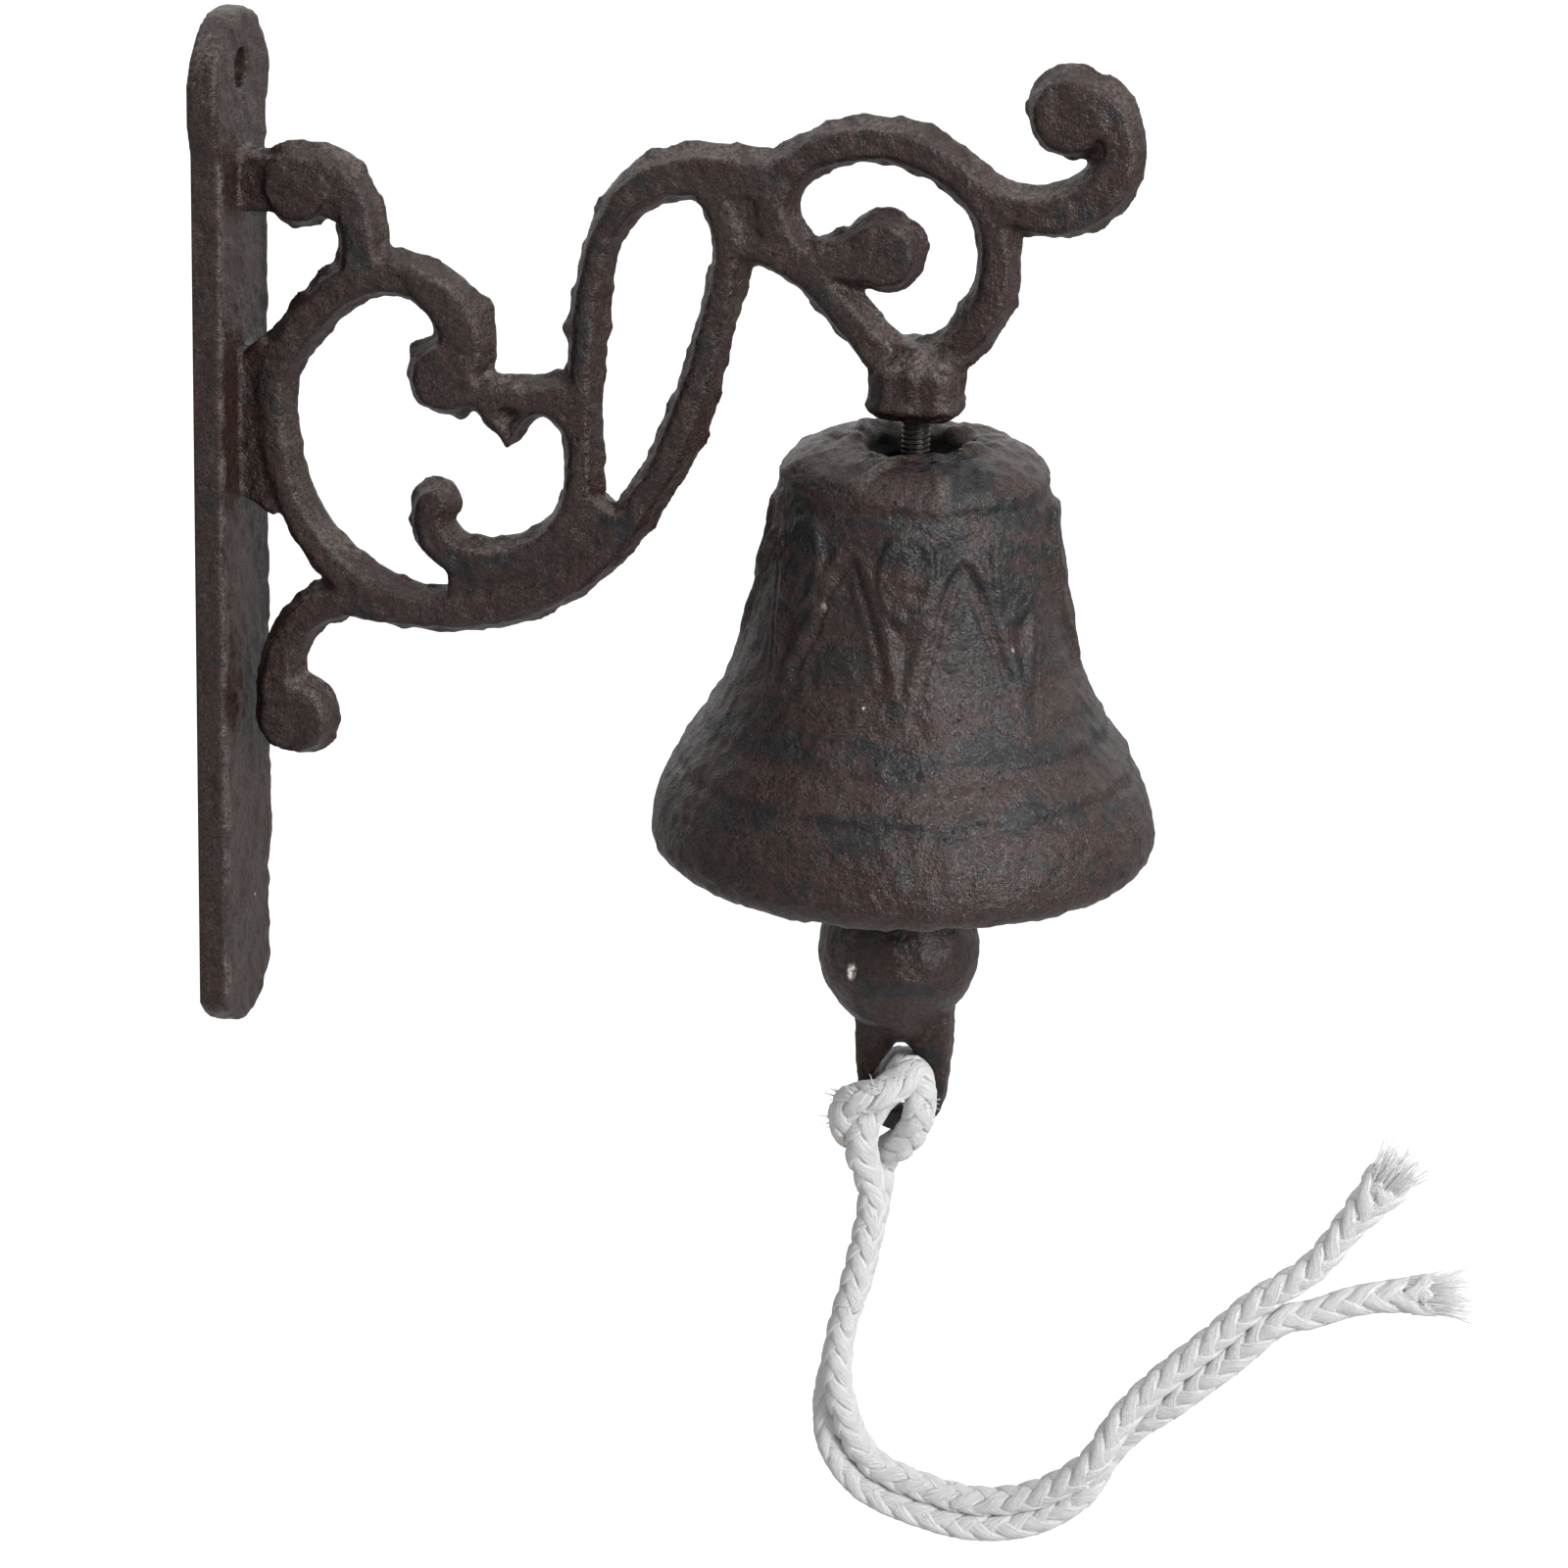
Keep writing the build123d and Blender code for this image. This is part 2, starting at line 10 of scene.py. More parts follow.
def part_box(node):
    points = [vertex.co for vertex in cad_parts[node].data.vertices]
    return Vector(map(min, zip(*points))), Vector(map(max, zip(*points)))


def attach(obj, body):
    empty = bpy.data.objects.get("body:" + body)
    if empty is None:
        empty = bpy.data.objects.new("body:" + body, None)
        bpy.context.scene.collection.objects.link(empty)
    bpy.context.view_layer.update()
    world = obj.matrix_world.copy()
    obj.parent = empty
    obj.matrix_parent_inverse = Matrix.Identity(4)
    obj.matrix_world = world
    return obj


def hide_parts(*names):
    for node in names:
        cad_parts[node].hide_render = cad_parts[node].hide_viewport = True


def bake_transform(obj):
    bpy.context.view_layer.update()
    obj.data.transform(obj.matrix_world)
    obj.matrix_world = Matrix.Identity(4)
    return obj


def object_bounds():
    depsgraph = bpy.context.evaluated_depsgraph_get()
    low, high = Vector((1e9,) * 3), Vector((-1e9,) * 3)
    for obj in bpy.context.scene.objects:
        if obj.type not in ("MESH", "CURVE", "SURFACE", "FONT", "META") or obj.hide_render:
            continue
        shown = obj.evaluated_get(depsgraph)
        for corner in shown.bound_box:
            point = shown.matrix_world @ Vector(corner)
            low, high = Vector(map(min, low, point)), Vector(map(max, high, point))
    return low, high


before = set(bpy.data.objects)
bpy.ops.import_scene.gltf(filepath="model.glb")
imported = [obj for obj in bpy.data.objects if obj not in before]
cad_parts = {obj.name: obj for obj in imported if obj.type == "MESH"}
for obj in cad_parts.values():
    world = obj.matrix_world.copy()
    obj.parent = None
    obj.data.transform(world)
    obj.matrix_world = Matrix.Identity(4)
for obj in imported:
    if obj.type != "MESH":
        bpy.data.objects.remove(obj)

# Looks for the wall mounted bell. Shapes are worked out in millimetres, in the CAD frame:
# X out from the wall, Z up, the screw hole's centre at the origin. Blender gets metres.
cad_low, cad_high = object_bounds()
MM = 0.001

# -------------------- camera
CAMERA_AZIMUTH = 12.0
CAMERA_ELEVATION = 19.0
CAMERA_ROLL = 1.5
CAMERA_DISTANCE = 1078.0
CAMERA_LENS = 123.75
CAMERA_TARGET = (118.1, 0.0, -137.5)
AMBIENT = 0.12

# -------------------- cast skins
# Uneven sand-cast skins as (distance between bumps, height) in several sizes.
BRACKET_WAVES = [(11.0, 0.34), (5.0, 0.24), (2.6, 0.24), (1.6, 0.2)]
BELL_WAVES = [(9.0, 0.24), (4.0, 0.2), (2.4, 0.2), (1.6, 0.19)]
CLAPPER_WAVES = [(9.0, 0.25), (4.0, 0.2), (2.0, 0.16), (1.2, 0.12)]
STEEL_WAVES = [(2.0, 0.04), (0.8, 0.02)]
BRACKET_VOXEL = 0.68
CLAPPER_VOXEL = 0.5
BOLT_VOXEL = 0.2
STEEL_VOXEL = 0.22

# -------------------- bracket
# The skin is flat up to the first distance from the wall and uneven from the second.
WALL_SKIN = (0.2, 1.5)
# The wall strip ends and the scrollwork begins between these distances from the wall.
STRIP_END = (7.5, 9.0)
STRIP_EDGE_X = 6.0
STRIP_EDGE_Y = (12.6, 13.6)
CREASE_DEPTH = 0.45
BEAD_HEIGHT = 0.3
FLASH_HEIGHT = 0.5
# The boss is a square with cut corners, between two heights. Its half width and its reach at a
# cut corner are given over the CAD boss's radius; the flare is how far its lower edge is filled.
BOSS_TOP_Z = -47.0
BOSS_FOOT_Z = -59.0
BOSS_HALF = 0.97
BOSS_CORNER = 1.13
BOSS_FLARE = 0.14
# The bolt's hole inside the boss stays round, and so do the bars outside it.
BOSS_INSIDE = (3.5, 5.5)
BOSS_OUTSIDE = (12.0, 14.0)
# Cast lumps on the scrollwork: x, z, radius and height.
LUMPS = [
    (72.0, -47.5, 1.9, 1.6), (70.5, -56.4, 1.8, 0.8), (56.8, -44.5, 2.2, 1.0),
    (51.5, -67.0, 1.7, 1.4), (151.6, -37.5, 2.0, 0.8), (42.0, -54.0, 2.0, 0.9),
]

# -------------------- bell
# Drops are measured down from the crown, and radii from the bell's axis.
BELL_COLUMNS = 392
BELL_OUTSIDE_STEP = 0.72
BELL_INSIDE_STEP = 1.7
HOLE_RADIUS = 6.0
# The wall's radius at three drops, which turns angles into lengths.
WALL_DROPS = [10, 40, 60]
WALL_RADII = [27, 33, 43]
# Pointed arches stand side by side round the wall, each with a ridge, a hollow and an inner rib.
ARCH_COUNT = 8
ARCH_PHASE = -59.0
ARCH_TOP = 16.0
ARCH_FOOT = 44.0
ARCH_FILL = 0.96
ARCH_POINT = 0.52
RIDGE_HEIGHT = 0.95
RIDGE_WIDTH = 1.6
HOLLOW_DEPTH = 0.75
HOLLOW_REACH = (0.8, 3.0)
RIB_REACH = 3.8
RIB_HEIGHT = 0.5
# An oval hangs between each two arches.
OVAL_DROP = 20
OVAL_HALF_WIDTH = 6.2
OVAL_SQUASH = 0.6
# Rings and grooves round the wall: drop, height and width.
RINGS = [
    (55.2, 0.42, 1.3), (57.4, -0.32, 1.1), (63.4, 0.45, 1.4),
    (65.8, -0.4, 1.1), (8.8, -0.42, 1.0), (6.4, 0.12, 1.3),
]
# The crown, from the hole outwards: a ragged dish, its raised lip, and folds out to the wall.
DISH_START = (6.5, 8.5)
DISH_END = (14, 17)
DISH_LIP = 12.6
CROWN_START = (11, 15)
CROWN_END = (24, 27)
WALL_START = (24, 26)
# A patch of wrinkles on the shoulder, and the lighter side round it where the key light falls, painted with
# more blue-black as a painted cool sheen: angle and half width.
WRINKLE_ANGLE = (313, 16)
LIT_ANGLE = (312, 26)
# Drops where the paint has worn to blue-black bands.
DARK_BANDS = [13.0, 54.0, 66.0]
# Pale chips on the bell: angle, drop, radius and half height.
BELL_CHIPS = [(-113, 27, 30.5, 1.3), (-41, 34.5, 32.0, 1.2), (-52, 47, 36.0, 0.9), (-60, 18, 29.0, 0.9)]

# -------------------- clapper
# Heights of the ball's foot and top, of the neck, and of the stirrup's widest place.
BALL_FOOT_Z = (-184.0, -180.0)
BALL_TOP_Z = (-152.0, -148.0)
NECK_Z = -186.5
STIRRUP_Z = -200.0
# The stirrup hangs this far off the ball's axis, from the first height down to nothing at the second.
NECK_SHIFT = 1.8
NECK_SHIFT_Z = (-190.0, -178.0)
NECK_DEEPER = 0.4
STIRRUP_NARROWER = 0.06
# The ball's mould seam runs down it at this angle from +X, with a step across it.
SEAM_ANGLE = -115.0
SEAM_STEP = 0.5
# A pale chip on the ball: place, and half height.
CLAPPER_CHIP = ((135.7, -14.8, -170.5), 2.0)

# -------------------- bolt
THREAD_RADIUS = 3.0
THREAD_PITCH = 1.0
THREAD_DEPTH = 0.55

# -------------------- cord
STRAND_RADIUS = 3.0
YARN_HALF_WIDTH = 1.62
YARN_HALF_THICKNESS = 0.84
YARN_SIDES = 8
YARNS_EACH_WAY = 4
BRAID_RADIUS = 2.08
BRAID_SWING = 0.27
BRAID_PITCH = 23.0
CORD_STEP = 0.55
# Near the cord's ends the yarns spread, over this length.
LOOSE_SPREAD = 1.6
LOOSE_LENGTH = 6.0
# The strand is a little slacker above these heights, in the hitch.
HITCH_SLACK = 0.15
HITCH_Z = (-221.0, -213.0)
FIBRES_PER_END = 230
FIBRES_PER_WISP = 7
FIBRE_RADIUS = 0.14
FIBRE_LENGTH = 9.0
WISP_REACH = 1.2
WISP_LENGTH = 3.0
GOLDEN_ANGLE = 2.39996
STAIN = (133.8, -6.4, -209.4)
# Where stray fibres stand off the hitch: place and direction.
WISPS = [
    ((136.5, -11.5, -197.5), (-0.5, -0.5, 0.7)), ((141.0, -12.3, -196.0), (0.2, -0.6, 0.8)),
    ((132.0, -6.5, -200.5), (-0.9, -0.3, 0.4)), ((150.8, -7.5, -199.5), (0.9, -0.4, 0.2)),
    ((146.0, -11.0, -193.5), (0.5, -0.5, 0.7)), ((131.5, -5.0, -206.5), (-1.0, -0.2, -0.2)),
]
# The cord is one length: upper tail, one strand of the pair, hitch, other strand, lower tail.
# These are places along its centre line, or along the middle of the pair.
HITCH_LINE = [
    (138.6, -3.1, -219.0), (137.2, -4.6, -213.0), (137.8, -5.9, -206.5), (140.2, -5.8, -201.5),
    (143.6, -3.2, -197.4), (144.6, 1.6, -195.6), (141.8, 6.2, -197.6), (137.6, 6.8, -202.6),
    (135.0, 4.6, -208.6), (133.9, 0.4, -211.0), (133.6, -3.9, -208.0), (134.0, -6.8, -203.4),
    (136.4, -9.0, -199.8), (140.9, -9.8, -198.2), (145.0, -8.6, -195.6), (147.4, -6.6, -193.6),
    (148.8, -5.6, -197.0), (149.0, -5.2, -201.5), (147.8, -3.4, -206.6), (144.6, -0.6, -211.8),
    (141.4, 2.2, -215.0), (139.9, 3.1, -219.0),
]
HITCH_MIDDLE = HITCH_LINE[14]
PAIR_LINE = [
    (139.3, -225.9), (136.4, -242.6), (133.6, -253.9), (132.3, -265.2), (132.5, -272.5), (134.6, -281.0),
    (141.0, -288.2), (153.2, -292.3), (163.6, -293.4), (173.8, -291.0), (182.6, -285.2), (188.6, -277.0),
    (193.6, -269.2), (199.4, -262.9), (204.8, -257.4), (213.0, -249.2), (221.0, -240.6),
]
# How far the pair has turned at each of those places: 0 is one strand in front of the other,
# 90 is one above the other.
PAIR_TURN = [0, 0, 5, 20, 50, 80, 92, 95, 92, 85, 60, 22, 40, 68, 80, 86, 88]
PAIR_SPACING = 0.97 * STRAND_RADIUS
TAIL_Y = 0.6
TOP_TAIL = [(229.6, -229.4), (236.6, -219.0), (243.2, -209.4)]
LOW_TAIL = [(230.4, -239.9), (237.8, -236.4), (245.4, -234.2), (253.6, -232.9)]
# The cord is cut into three pieces here, with two places given for each piece.
UPPER_CUT = (135.0, 0.0, -248.0)
BIGHT_CUT = (158.0, 0.0, -293.0)
HITCH_BEND = ((140.8, 0, -212.0), (138.6, 0, -223.0))
UPPER_BEND = ((132.6, 0, -262.0), (134.0, 0, -279.0))
LOWER_BEND = ((172.5, 0, -292.5), (189.0, 0, -280.0))

# -------------------- studio
FLOOR_DROP = 260
FLOOR_HALF = 6000
LIGHT_TARGET = (120, 0, -130)
# Soft lights: name, place, size and power.
LIGHTS = [
    ("key", (880, -560, 260), (320, 600), 11.5),
    ("fill", (-500, -1000, 350), (420, 600), 3.0),
    ("top", (60, -120, 900), (500, 350), 3.4),
]


# ==================== numbers and noise
def hashed(cells, seed):
    """A repeatable value from -1 to 1 for each whole-numbered cell."""
    x, y, z = (cells[:, axis].astype(np.uint64) for axis in range(3))
    mixed = x * np.uint64(73856093) ^ y * np.uint64(19349663) ^ z * np.uint64(83492791)
    mixed ^= np.uint64(seed * 2654435761 % 2**32)
    mixed = (mixed ^ (mixed >> np.uint64(13))) & np.uint64(0xFFFFFFFF)
    mixed = (mixed * np.uint64(1274126177)) & np.uint64(0xFFFFFFFF)
    mixed ^= mixed >> np.uint64(15)
    return (mixed & np.uint64(0xFFFF)).astype(float) / 32767.5 - 1


def noise(points, wavelength, seed):
    """Smooth noise from -1 to 1 at each point, with bumps about one wavelength apart."""
    place = np.asarray(points, float) / wavelength
    cell = np.floor(place).astype(np.int64)
    inside = place - cell
    share = inside**2 * (3 - 2 * inside)
    total = np.zeros(len(place))
    for corner in product((0, 1), repeat=3):
        weight = np.ones(len(place))
        for axis in range(3):
            weight *= share[:, axis] if corner[axis] else 1 - share[:, axis]
        total += weight * hashed(cell + np.array(corner), seed)
    return total


def cast_noise(points, waves, seed):
    """Several sizes of noise added up, in millimetres."""
    total = np.zeros(len(points))
    for index, (wavelength, height) in enumerate(waves):
        total += height * noise(points, wavelength, seed + index)
    return total


def ramp(value, start, end):
    """0 before start, 1 after end, smooth between."""
    t = np.clip((value - start) / (end - start), 0, 1)
    return t * t * (3 - 2 * t)


def bump(value, centre, width):
    """Bell curve of height 1 about the centre."""
    return np.exp(-(((value - centre) / width) ** 2))


def within(value, start, end):
    """1 between two edges and 0 outside them; each edge is a pair of values to ramp between."""
    return ramp(value, *start) * (1 - ramp(value, *end))


def unit(vectors):
    """Vectors scaled to a length of one."""
    return vectors / np.linalg.norm(vectors, axis=-1, keepdims=True)


# ==================== meshes
def put_in_scene(name, data):
    """An object in the scene for a mesh, a light or a camera."""
    made = bpy.data.objects.new(name, data)
    bpy.context.scene.collection.objects.link(made)
    return made


def make_piece(name, points, faces):
    """A mesh object from points in millimetres."""
    mesh = bpy.data.meshes.new(name)
    mesh.from_pydata([tuple(p) for p in np.asarray(points) * MM], [], faces)
    mesh.validate()
    return put_in_scene(name, mesh)


def read_vectors(vertices, key):
    """One vector for each vertex, as the rows of an array."""
    flat = np.zeros(len(vertices) * 3, np.float32)
    vertices.foreach_get(key, flat)
    return flat.reshape(-1, 3).astype(float)


def points_of(piece):
    """A mesh object's vertices, in millimetres."""
    return read_vectors(piece.data.vertices, "co") / MM


def normals_of(piece):
    """A mesh object's vertex normals."""
    return read_vectors(piece.data.vertex_normals, "vector")


def set_points(piece, points):
    """Moves a mesh object's vertices to new places, in millimetres."""
    piece.data.vertices.foreach_set("co", (np.asarray(points) * MM).astype(np.float32).ravel())
    piece.data.update()


def store(piece, name, values):
    """Keeps one number per vertex for the piece's material to read."""
    attribute = piece.data.attributes.new(name, "FLOAT", "POINT")
    attribute.data.foreach_set("value", np.asarray(values, np.float32))


def smooth_shaded(piece):
    """Shades a mesh as one smooth skin."""
    piece.data.polygons.foreach_set("use_smooth", [True] * len(piece.data.polygons))
    piece.data.update()


def welded_copy(name, node):
    """A copy of a CAD node's mesh with its doubled vertices joined."""
    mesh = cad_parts[node].data.copy()
    work = bmesh.new()
    work.from_mesh(mesh)
    bmesh.ops.remove_doubles(work, verts=work.verts, dist=1e-6)
    work.to_mesh(mesh)
    work.free()
    mesh.materials.clear()
    return put_in_scene(name, mesh)


def face_outwards(piece):
    """Turns the faces of a closed mesh outwards."""
    work = bmesh.new()
    work.from_mesh(piece.data)
    bmesh.ops.recalc_face_normals(work, faces=work.faces)
    work.to_mesh(piece.data)
    work.free()


def bake(piece):
    """Applies a piece's modifiers to its mesh."""
    evaluated = piece.evaluated_get(bpy.context.evaluated_depsgraph_get())
    mesh = bpy.data.meshes.new_from_object(evaluated)
    piece.modifiers.clear()
    piece.data = mesh
    mesh.name = piece.name


def remesh(piece, voxel, rounds):
    """Covers a closed shape with one even skin, rounded a little at its edges."""
    skin = piece.modifiers.new("skin", "REMESH")
    skin.mode = "VOXEL"
    skin.voxel_size = voxel * MM
    soften = piece.modifiers.new("soften", "SMOOTH")
    soften.factor = 0.5
    soften.iterations = rounds
    bake(piece)


def join(name, pieces):
    """One mesh object from several."""
    work = bmesh.new()
    for piece in pieces:
        work.from_mesh(piece.data)
    mesh = bpy.data.meshes.new(name)
    work.to_mesh(mesh)
    work.free()
    for piece in pieces:
        bpy.data.objects.remove(piece)
    return put_in_scene(name, mesh)


def grid_faces(rows, columns, closed_rows=False):
    """Quads over a grid of points stored row by row, where each row is a closed loop."""
    faces = []
    for row in range(rows if closed_rows else rows - 1):
        for column in range(columns):
            below = (row + 1) % rows
            beside = (column + 1) % columns
            faces.append((
                row * columns + column,
                row * columns + beside,
                below * columns + beside,
                below * columns + column,
            ))
    return faces


# ==================== material nodes
class Shader:
    """A material's node tree, with short calls for the nodes used here."""

    def __init__(self, name):
        self.material = bpy.data.materials.new(name)
        self.material.use_nodes = True
        self.tree = self.material.node_tree
        self.surface = self.tree.nodes["Principled BSDF"]
        self.place = self.tree.nodes.new("ShaderNodeTexCoord").outputs["Object"]

    def link(self, source, target):
        self.tree.links.new(source, target)

    def feed(self, value, socket):
        """Links a node's output to a socket, or gives the socket a plain value or an opaque colour."""
        if isinstance(value, bpy.types.NodeSocket):
            self.link(value, socket)
        elif isinstance(value, tuple) and len(socket.default_value) == 4:
            socket.default_value = (*value, 1)
        else:
            socket.default_value = value

    def node(self, kind, inputs=None, **settings):
        made = self.tree.nodes.new(kind)
        for key, value in settings.items():
            setattr(made, key, value)
        for key, value in (inputs or {}).items():
            self.feed(value, made.inputs[key])
        return made

    def noise(self, size, detail=4.0, roughness=0.6, distortion=0.0, place=None):
        """Noise from 0 to 1 with bumps of a size in millimetres."""
        return self.node("ShaderNodeTexNoise", {
            "Vector": place or self.place,
            "Scale": 1 / (size * MM),
            "Detail": detail,
            "Roughness": roughness,
            "Distortion": distortion,
        }).outputs["Fac"]

    def cells(self, size):
        """Distance to the nearest of many scattered points, a size apart in millimetres."""
        scale = 1 / (size * MM)
        return self.node("ShaderNodeTexVoronoi", {"Vector": self.place, "Scale": scale}).outputs["Distance"]

    def spread(self, value, low, high, start=0.0, end=1.0):
        """Maps low..high onto start..end, held at both ends."""
        return self.node("ShaderNodeMapRange", {
            "Value": value, "From Min": low, "From Max": high, "To Min": start, "To Max": end,
        }).outputs["Result"]

    def maths(self, operation, first, second):
        made = self.node("ShaderNodeMath", {0: first, 1: second}, operation=operation)
        return made.outputs["Value"]

    def blend(self, share, first, second, mode="MIX"):
        """Mixes two colours."""
        made = self.node("ShaderNodeMix", data_type="RGBA", blend_type=mode)
        # A Mix node keeps its factor, first colour and second colour in these three sockets.
        for value, socket in ((share, 0), (first, 6), (second, 7)):
            self.feed(value, made.inputs[socket])
        return made.outputs[2]

    def stretched(self, scale):
        """Object coordinates scaled by axis, so that textures stretch."""
        return self.node("ShaderNodeMapping", {"Vector": self.place, "Scale": scale}).outputs["Vector"]

    def attribute(self, name):
        return self.node("ShaderNodeAttribute", attribute_name=name).outputs["Fac"]

    def relief(self, height, depth, normal=None):
        """Bump of a depth in millimetres, on top of an earlier bump."""
        inputs = {"Height": height, "Distance": depth * MM, "Strength": 1.0}
        if normal is not None:
            inputs["Normal"] = normal
        return self.node("ShaderNodeBump", inputs).outputs["Normal"]

    def finish(self, colour, roughness, normal, **values):
        """Connects the surface and returns the material; values set its other inputs."""
        for key, value in (("Base Color", colour), ("Roughness", roughness), ("Normal", normal)):
            self.feed(value, self.surface.inputs[key])
        for key, value in values.items():
            self.feed(value, self.surface.inputs[key.replace("_", " ")])
        return self.material


PAINT_BROWN = (0.0200, 0.0096, 0.0076)
PAINT_RED = (0.0175, 0.0060, 0.0043)
PAINT_BLACK = (0.0032, 0.0034, 0.0042)
WEAR_AND_PAINTED_LIGHT_GREY = (0.050, 0.036, 0.031)
CHIP_GREY = (0.45, 0.4, 0.38)
PIT_AND_SHADE_BLACK = (0.003, 0.0025, 0.0025)
STEEL_GREY = (0.06, 0.057, 0.055)
RUST_BROWN = (0.03, 0.016, 0.011)
GRIME = (0.015, 0.013, 0.012)
YARN_LIGHT = (0.96, 0.96, 0.95)
YARN_SHADE = (0.74, 0.745, 0.75)
YARN_GAP_SHADE = (0.66, 0.665, 0.68)
STAIN_BROWN = (0.42, 0.27, 0.17)
CAST_SHINE = 0.5
DISH_SHINE = 0.02


def brown_paint(s, size, low, high):
    """Brown paint that turns redder in soft patches of a size."""
    return s.blend(s.spread(s.noise(size, 3.0, 0.6), low, high), PAINT_BROWN, PAINT_RED)


def speckled(s, colour):
    """A colour made lighter and darker, grain by grain, as sand leaves it."""
    grain = s.spread(s.noise(0.85, 2.0, 0.85), 0.34, 0.7, 0.1, 2.7)
    grey = s.node("ShaderNodeCombineColor", {"Red": grain, "Green": grain, "Blue": grain}).outputs["Color"]
    return s.blend(1.0, colour, grey, "MULTIPLY")


def cast_surface(s, colour, grain_depth, low_gloss, high_gloss):
    """Finishes a casting's material: grain, open pits, and a few pale chips."""
    colour = speckled(s, colour)
    pits = s.spread(s.cells(3.1), 0.06, 0.13, 1.0, 0.0)
    pits = s.maths("MULTIPLY", pits, s.spread(s.noise(9.0, 1.0), 0.54, 0.6))
    colour = s.blend(s.maths("MULTIPLY", pits, 0.9), colour, PIT_AND_SHADE_BLACK)
    chips = s.spread(s.cells(13.0), 0.016, 0.03, 1.0, 0.0)
    chips = s.maths("MULTIPLY", chips, s.spread(s.noise(25.0, 1.0), 0.52, 0.56))
    colour = s.blend(chips, colour, CHIP_GREY)
    roughness = s.spread(s.noise(1.3, 3.0, 0.7), 0.35, 0.65, low_gloss, high_gloss)
    normal = s.relief(s.noise(1.05, 3.0, 0.75), grain_depth)
    normal = s.relief(s.noise(2.6, 3.0, 0.62), 1.1 * grain_depth, normal)
    normal = s.relief(s.noise(0.55, 2.0, 0.8), 0.35 * grain_depth, normal)
    normal = s.relief(s.maths("MULTIPLY", pits, -1.0), 0.35, normal)
    return s.finish(colour, roughness, normal, Specular_IOR_Level=CAST_SHINE)


def patchy(s, size, flatness, share, push):
    """Ragged patches: a mask from 0 to 1 that covers about a share of the surface, more where pushed."""
    broad = s.noise(size, 5.0, 0.64, 0.5, s.stretched((1.0, 1.0, flatness)))
    ragged = s.spread(s.noise(1.7, 3.0, 0.65), 0.3, 0.7, -0.08, 0.08)
    level = s.maths("ADD", s.maths("ADD", broad, ragged), push)
    return s.spread(level, 1 - share - 0.04, 1 - share + 0.06)


def bracket_iron_material():
    """Blue-black flat faces, browner drafted sides with grey wear patches on faces painted pale as if lit
    from above left, a painted highlight on the wall strip's bead, and painted shade in the dark creases
    between them.
    """
    s = Shader("bracket_iron")
    brown = brown_paint(s, 8.0, 0.4, 0.62)
    # Grey patches kept to the faces painted pale as if lit from above left.
    worn = s.maths("MULTIPLY", patchy(s, 16.0, 1.0, 0.5, 0.0), s.attribute("worn"))
    side = s.blend(worn, brown, WEAR_AND_PAINTED_LIGHT_GREY)
    front = s.blend(patchy(s, 10.0, 1.0, 0.4, 0.0), brown, PAINT_BLACK)
    colour = s.blend(s.attribute("raised"), side, front)
    # Painted shade: near black along the creases.
    colour = s.blend(s.maths("MULTIPLY", s.attribute("crease_shade"), 0.9), colour, PIT_AND_SHADE_BLACK)
    # Painted highlight: pale grey on the wall strip's bead.
    colour = s.blend(s.attribute("bead"), colour, WEAR_AND_PAINTED_LIGHT_GREY)
    return cast_surface(s, colour, 0.42, 0.28, 0.46)


def bell_iron_material():
    """Brown bell with blue-black streaks that lie across it, mostly on its raised pattern and, as a painted
    cool sheen, on the side under the key light; painted shade darkens its grooves and its dish.
    """
    s = Shader("bell_iron")
    brown = brown_paint(s, 9.0, 0.42, 0.62)
    # More black where the pattern is raised, in the worn bands and wrinkles, and on the side under the key
    # light, where the blue-black is a painted cool sheen.
    push = s.spread(s.attribute("raised"), 0.0, 1.0, -0.12, 0.12)
    colour = s.blend(patchy(s, 12.0, 2.4, 0.46, push), brown, PAINT_BLACK)
    colour = s.blend(s.attribute("fold"), colour, WEAR_AND_PAINTED_LIGHT_GREY)
    # Painted shade: the dish round the hole is painted near black, and its shine is turned down there.
    hollow = s.attribute("dish")
    colour = s.blend(s.maths("MULTIPLY", hollow, 0.9), colour, PIT_AND_SHADE_BLACK)
    colour = s.blend(s.attribute("chip"), colour, CHIP_GREY)
    # Painted shade in the grooves of the cast pattern.
    colour = s.blend(s.maths("MULTIPLY", s.attribute("crease_shade"), 0.8), colour, PIT_AND_SHADE_BLACK)
    made = cast_surface(s, colour, 0.42, 0.24, 0.4)
    s.link(s.spread(hollow, 0.0, 1.0, CAST_SHINE, DISH_SHINE), s.surface.inputs["Specular IOR Level"])
    return made


def clapper_iron_material():
    """Dark reddish iron with a few black patches, and a painted pale reflection on the ball beside its
    seam.
    """
    s = Shader("clapper_iron")
    brown = brown_paint(s, 7.0, 0.35, 0.6)
    colour = s.blend(patchy(s, 11.0, 1.4, 0.42, 0.0), brown, PAINT_BLACK)
    colour = s.blend(s.attribute("chip"), colour, CHIP_GREY)
    # Painted reflection: pale grey on the ball beside its seam.
    colour = s.blend(s.maths("MULTIPLY", s.attribute("worn"), 0.6), colour, WEAR_AND_PAINTED_LIGHT_GREY)
    return cast_surface(s, colour, 0.3, 0.3, 0.46)


def steel_material():
    """Dull dark steel with fine scratches and patches of brown rust."""
    s = Shader("bolt_steel")
    rust = s.spread(s.noise(2.5, 4.0, 0.65), 0.45, 0.6)
    colour = s.blend(rust, STEEL_GREY, RUST_BROWN)
    colour = s.blend(s.spread(s.noise(0.4, 2.0), 0.3, 0.7, 0.0, 0.5), colour, GRIME)
    roughness = s.spread(s.noise(0.8, 3.0), 0.3, 0.7, 0.32, 0.55)
    normal = s.relief(s.noise(0.35, 3.0, 0.6), 0.05)
    return s.finish(colour, roughness, normal, Metallic=0.8)


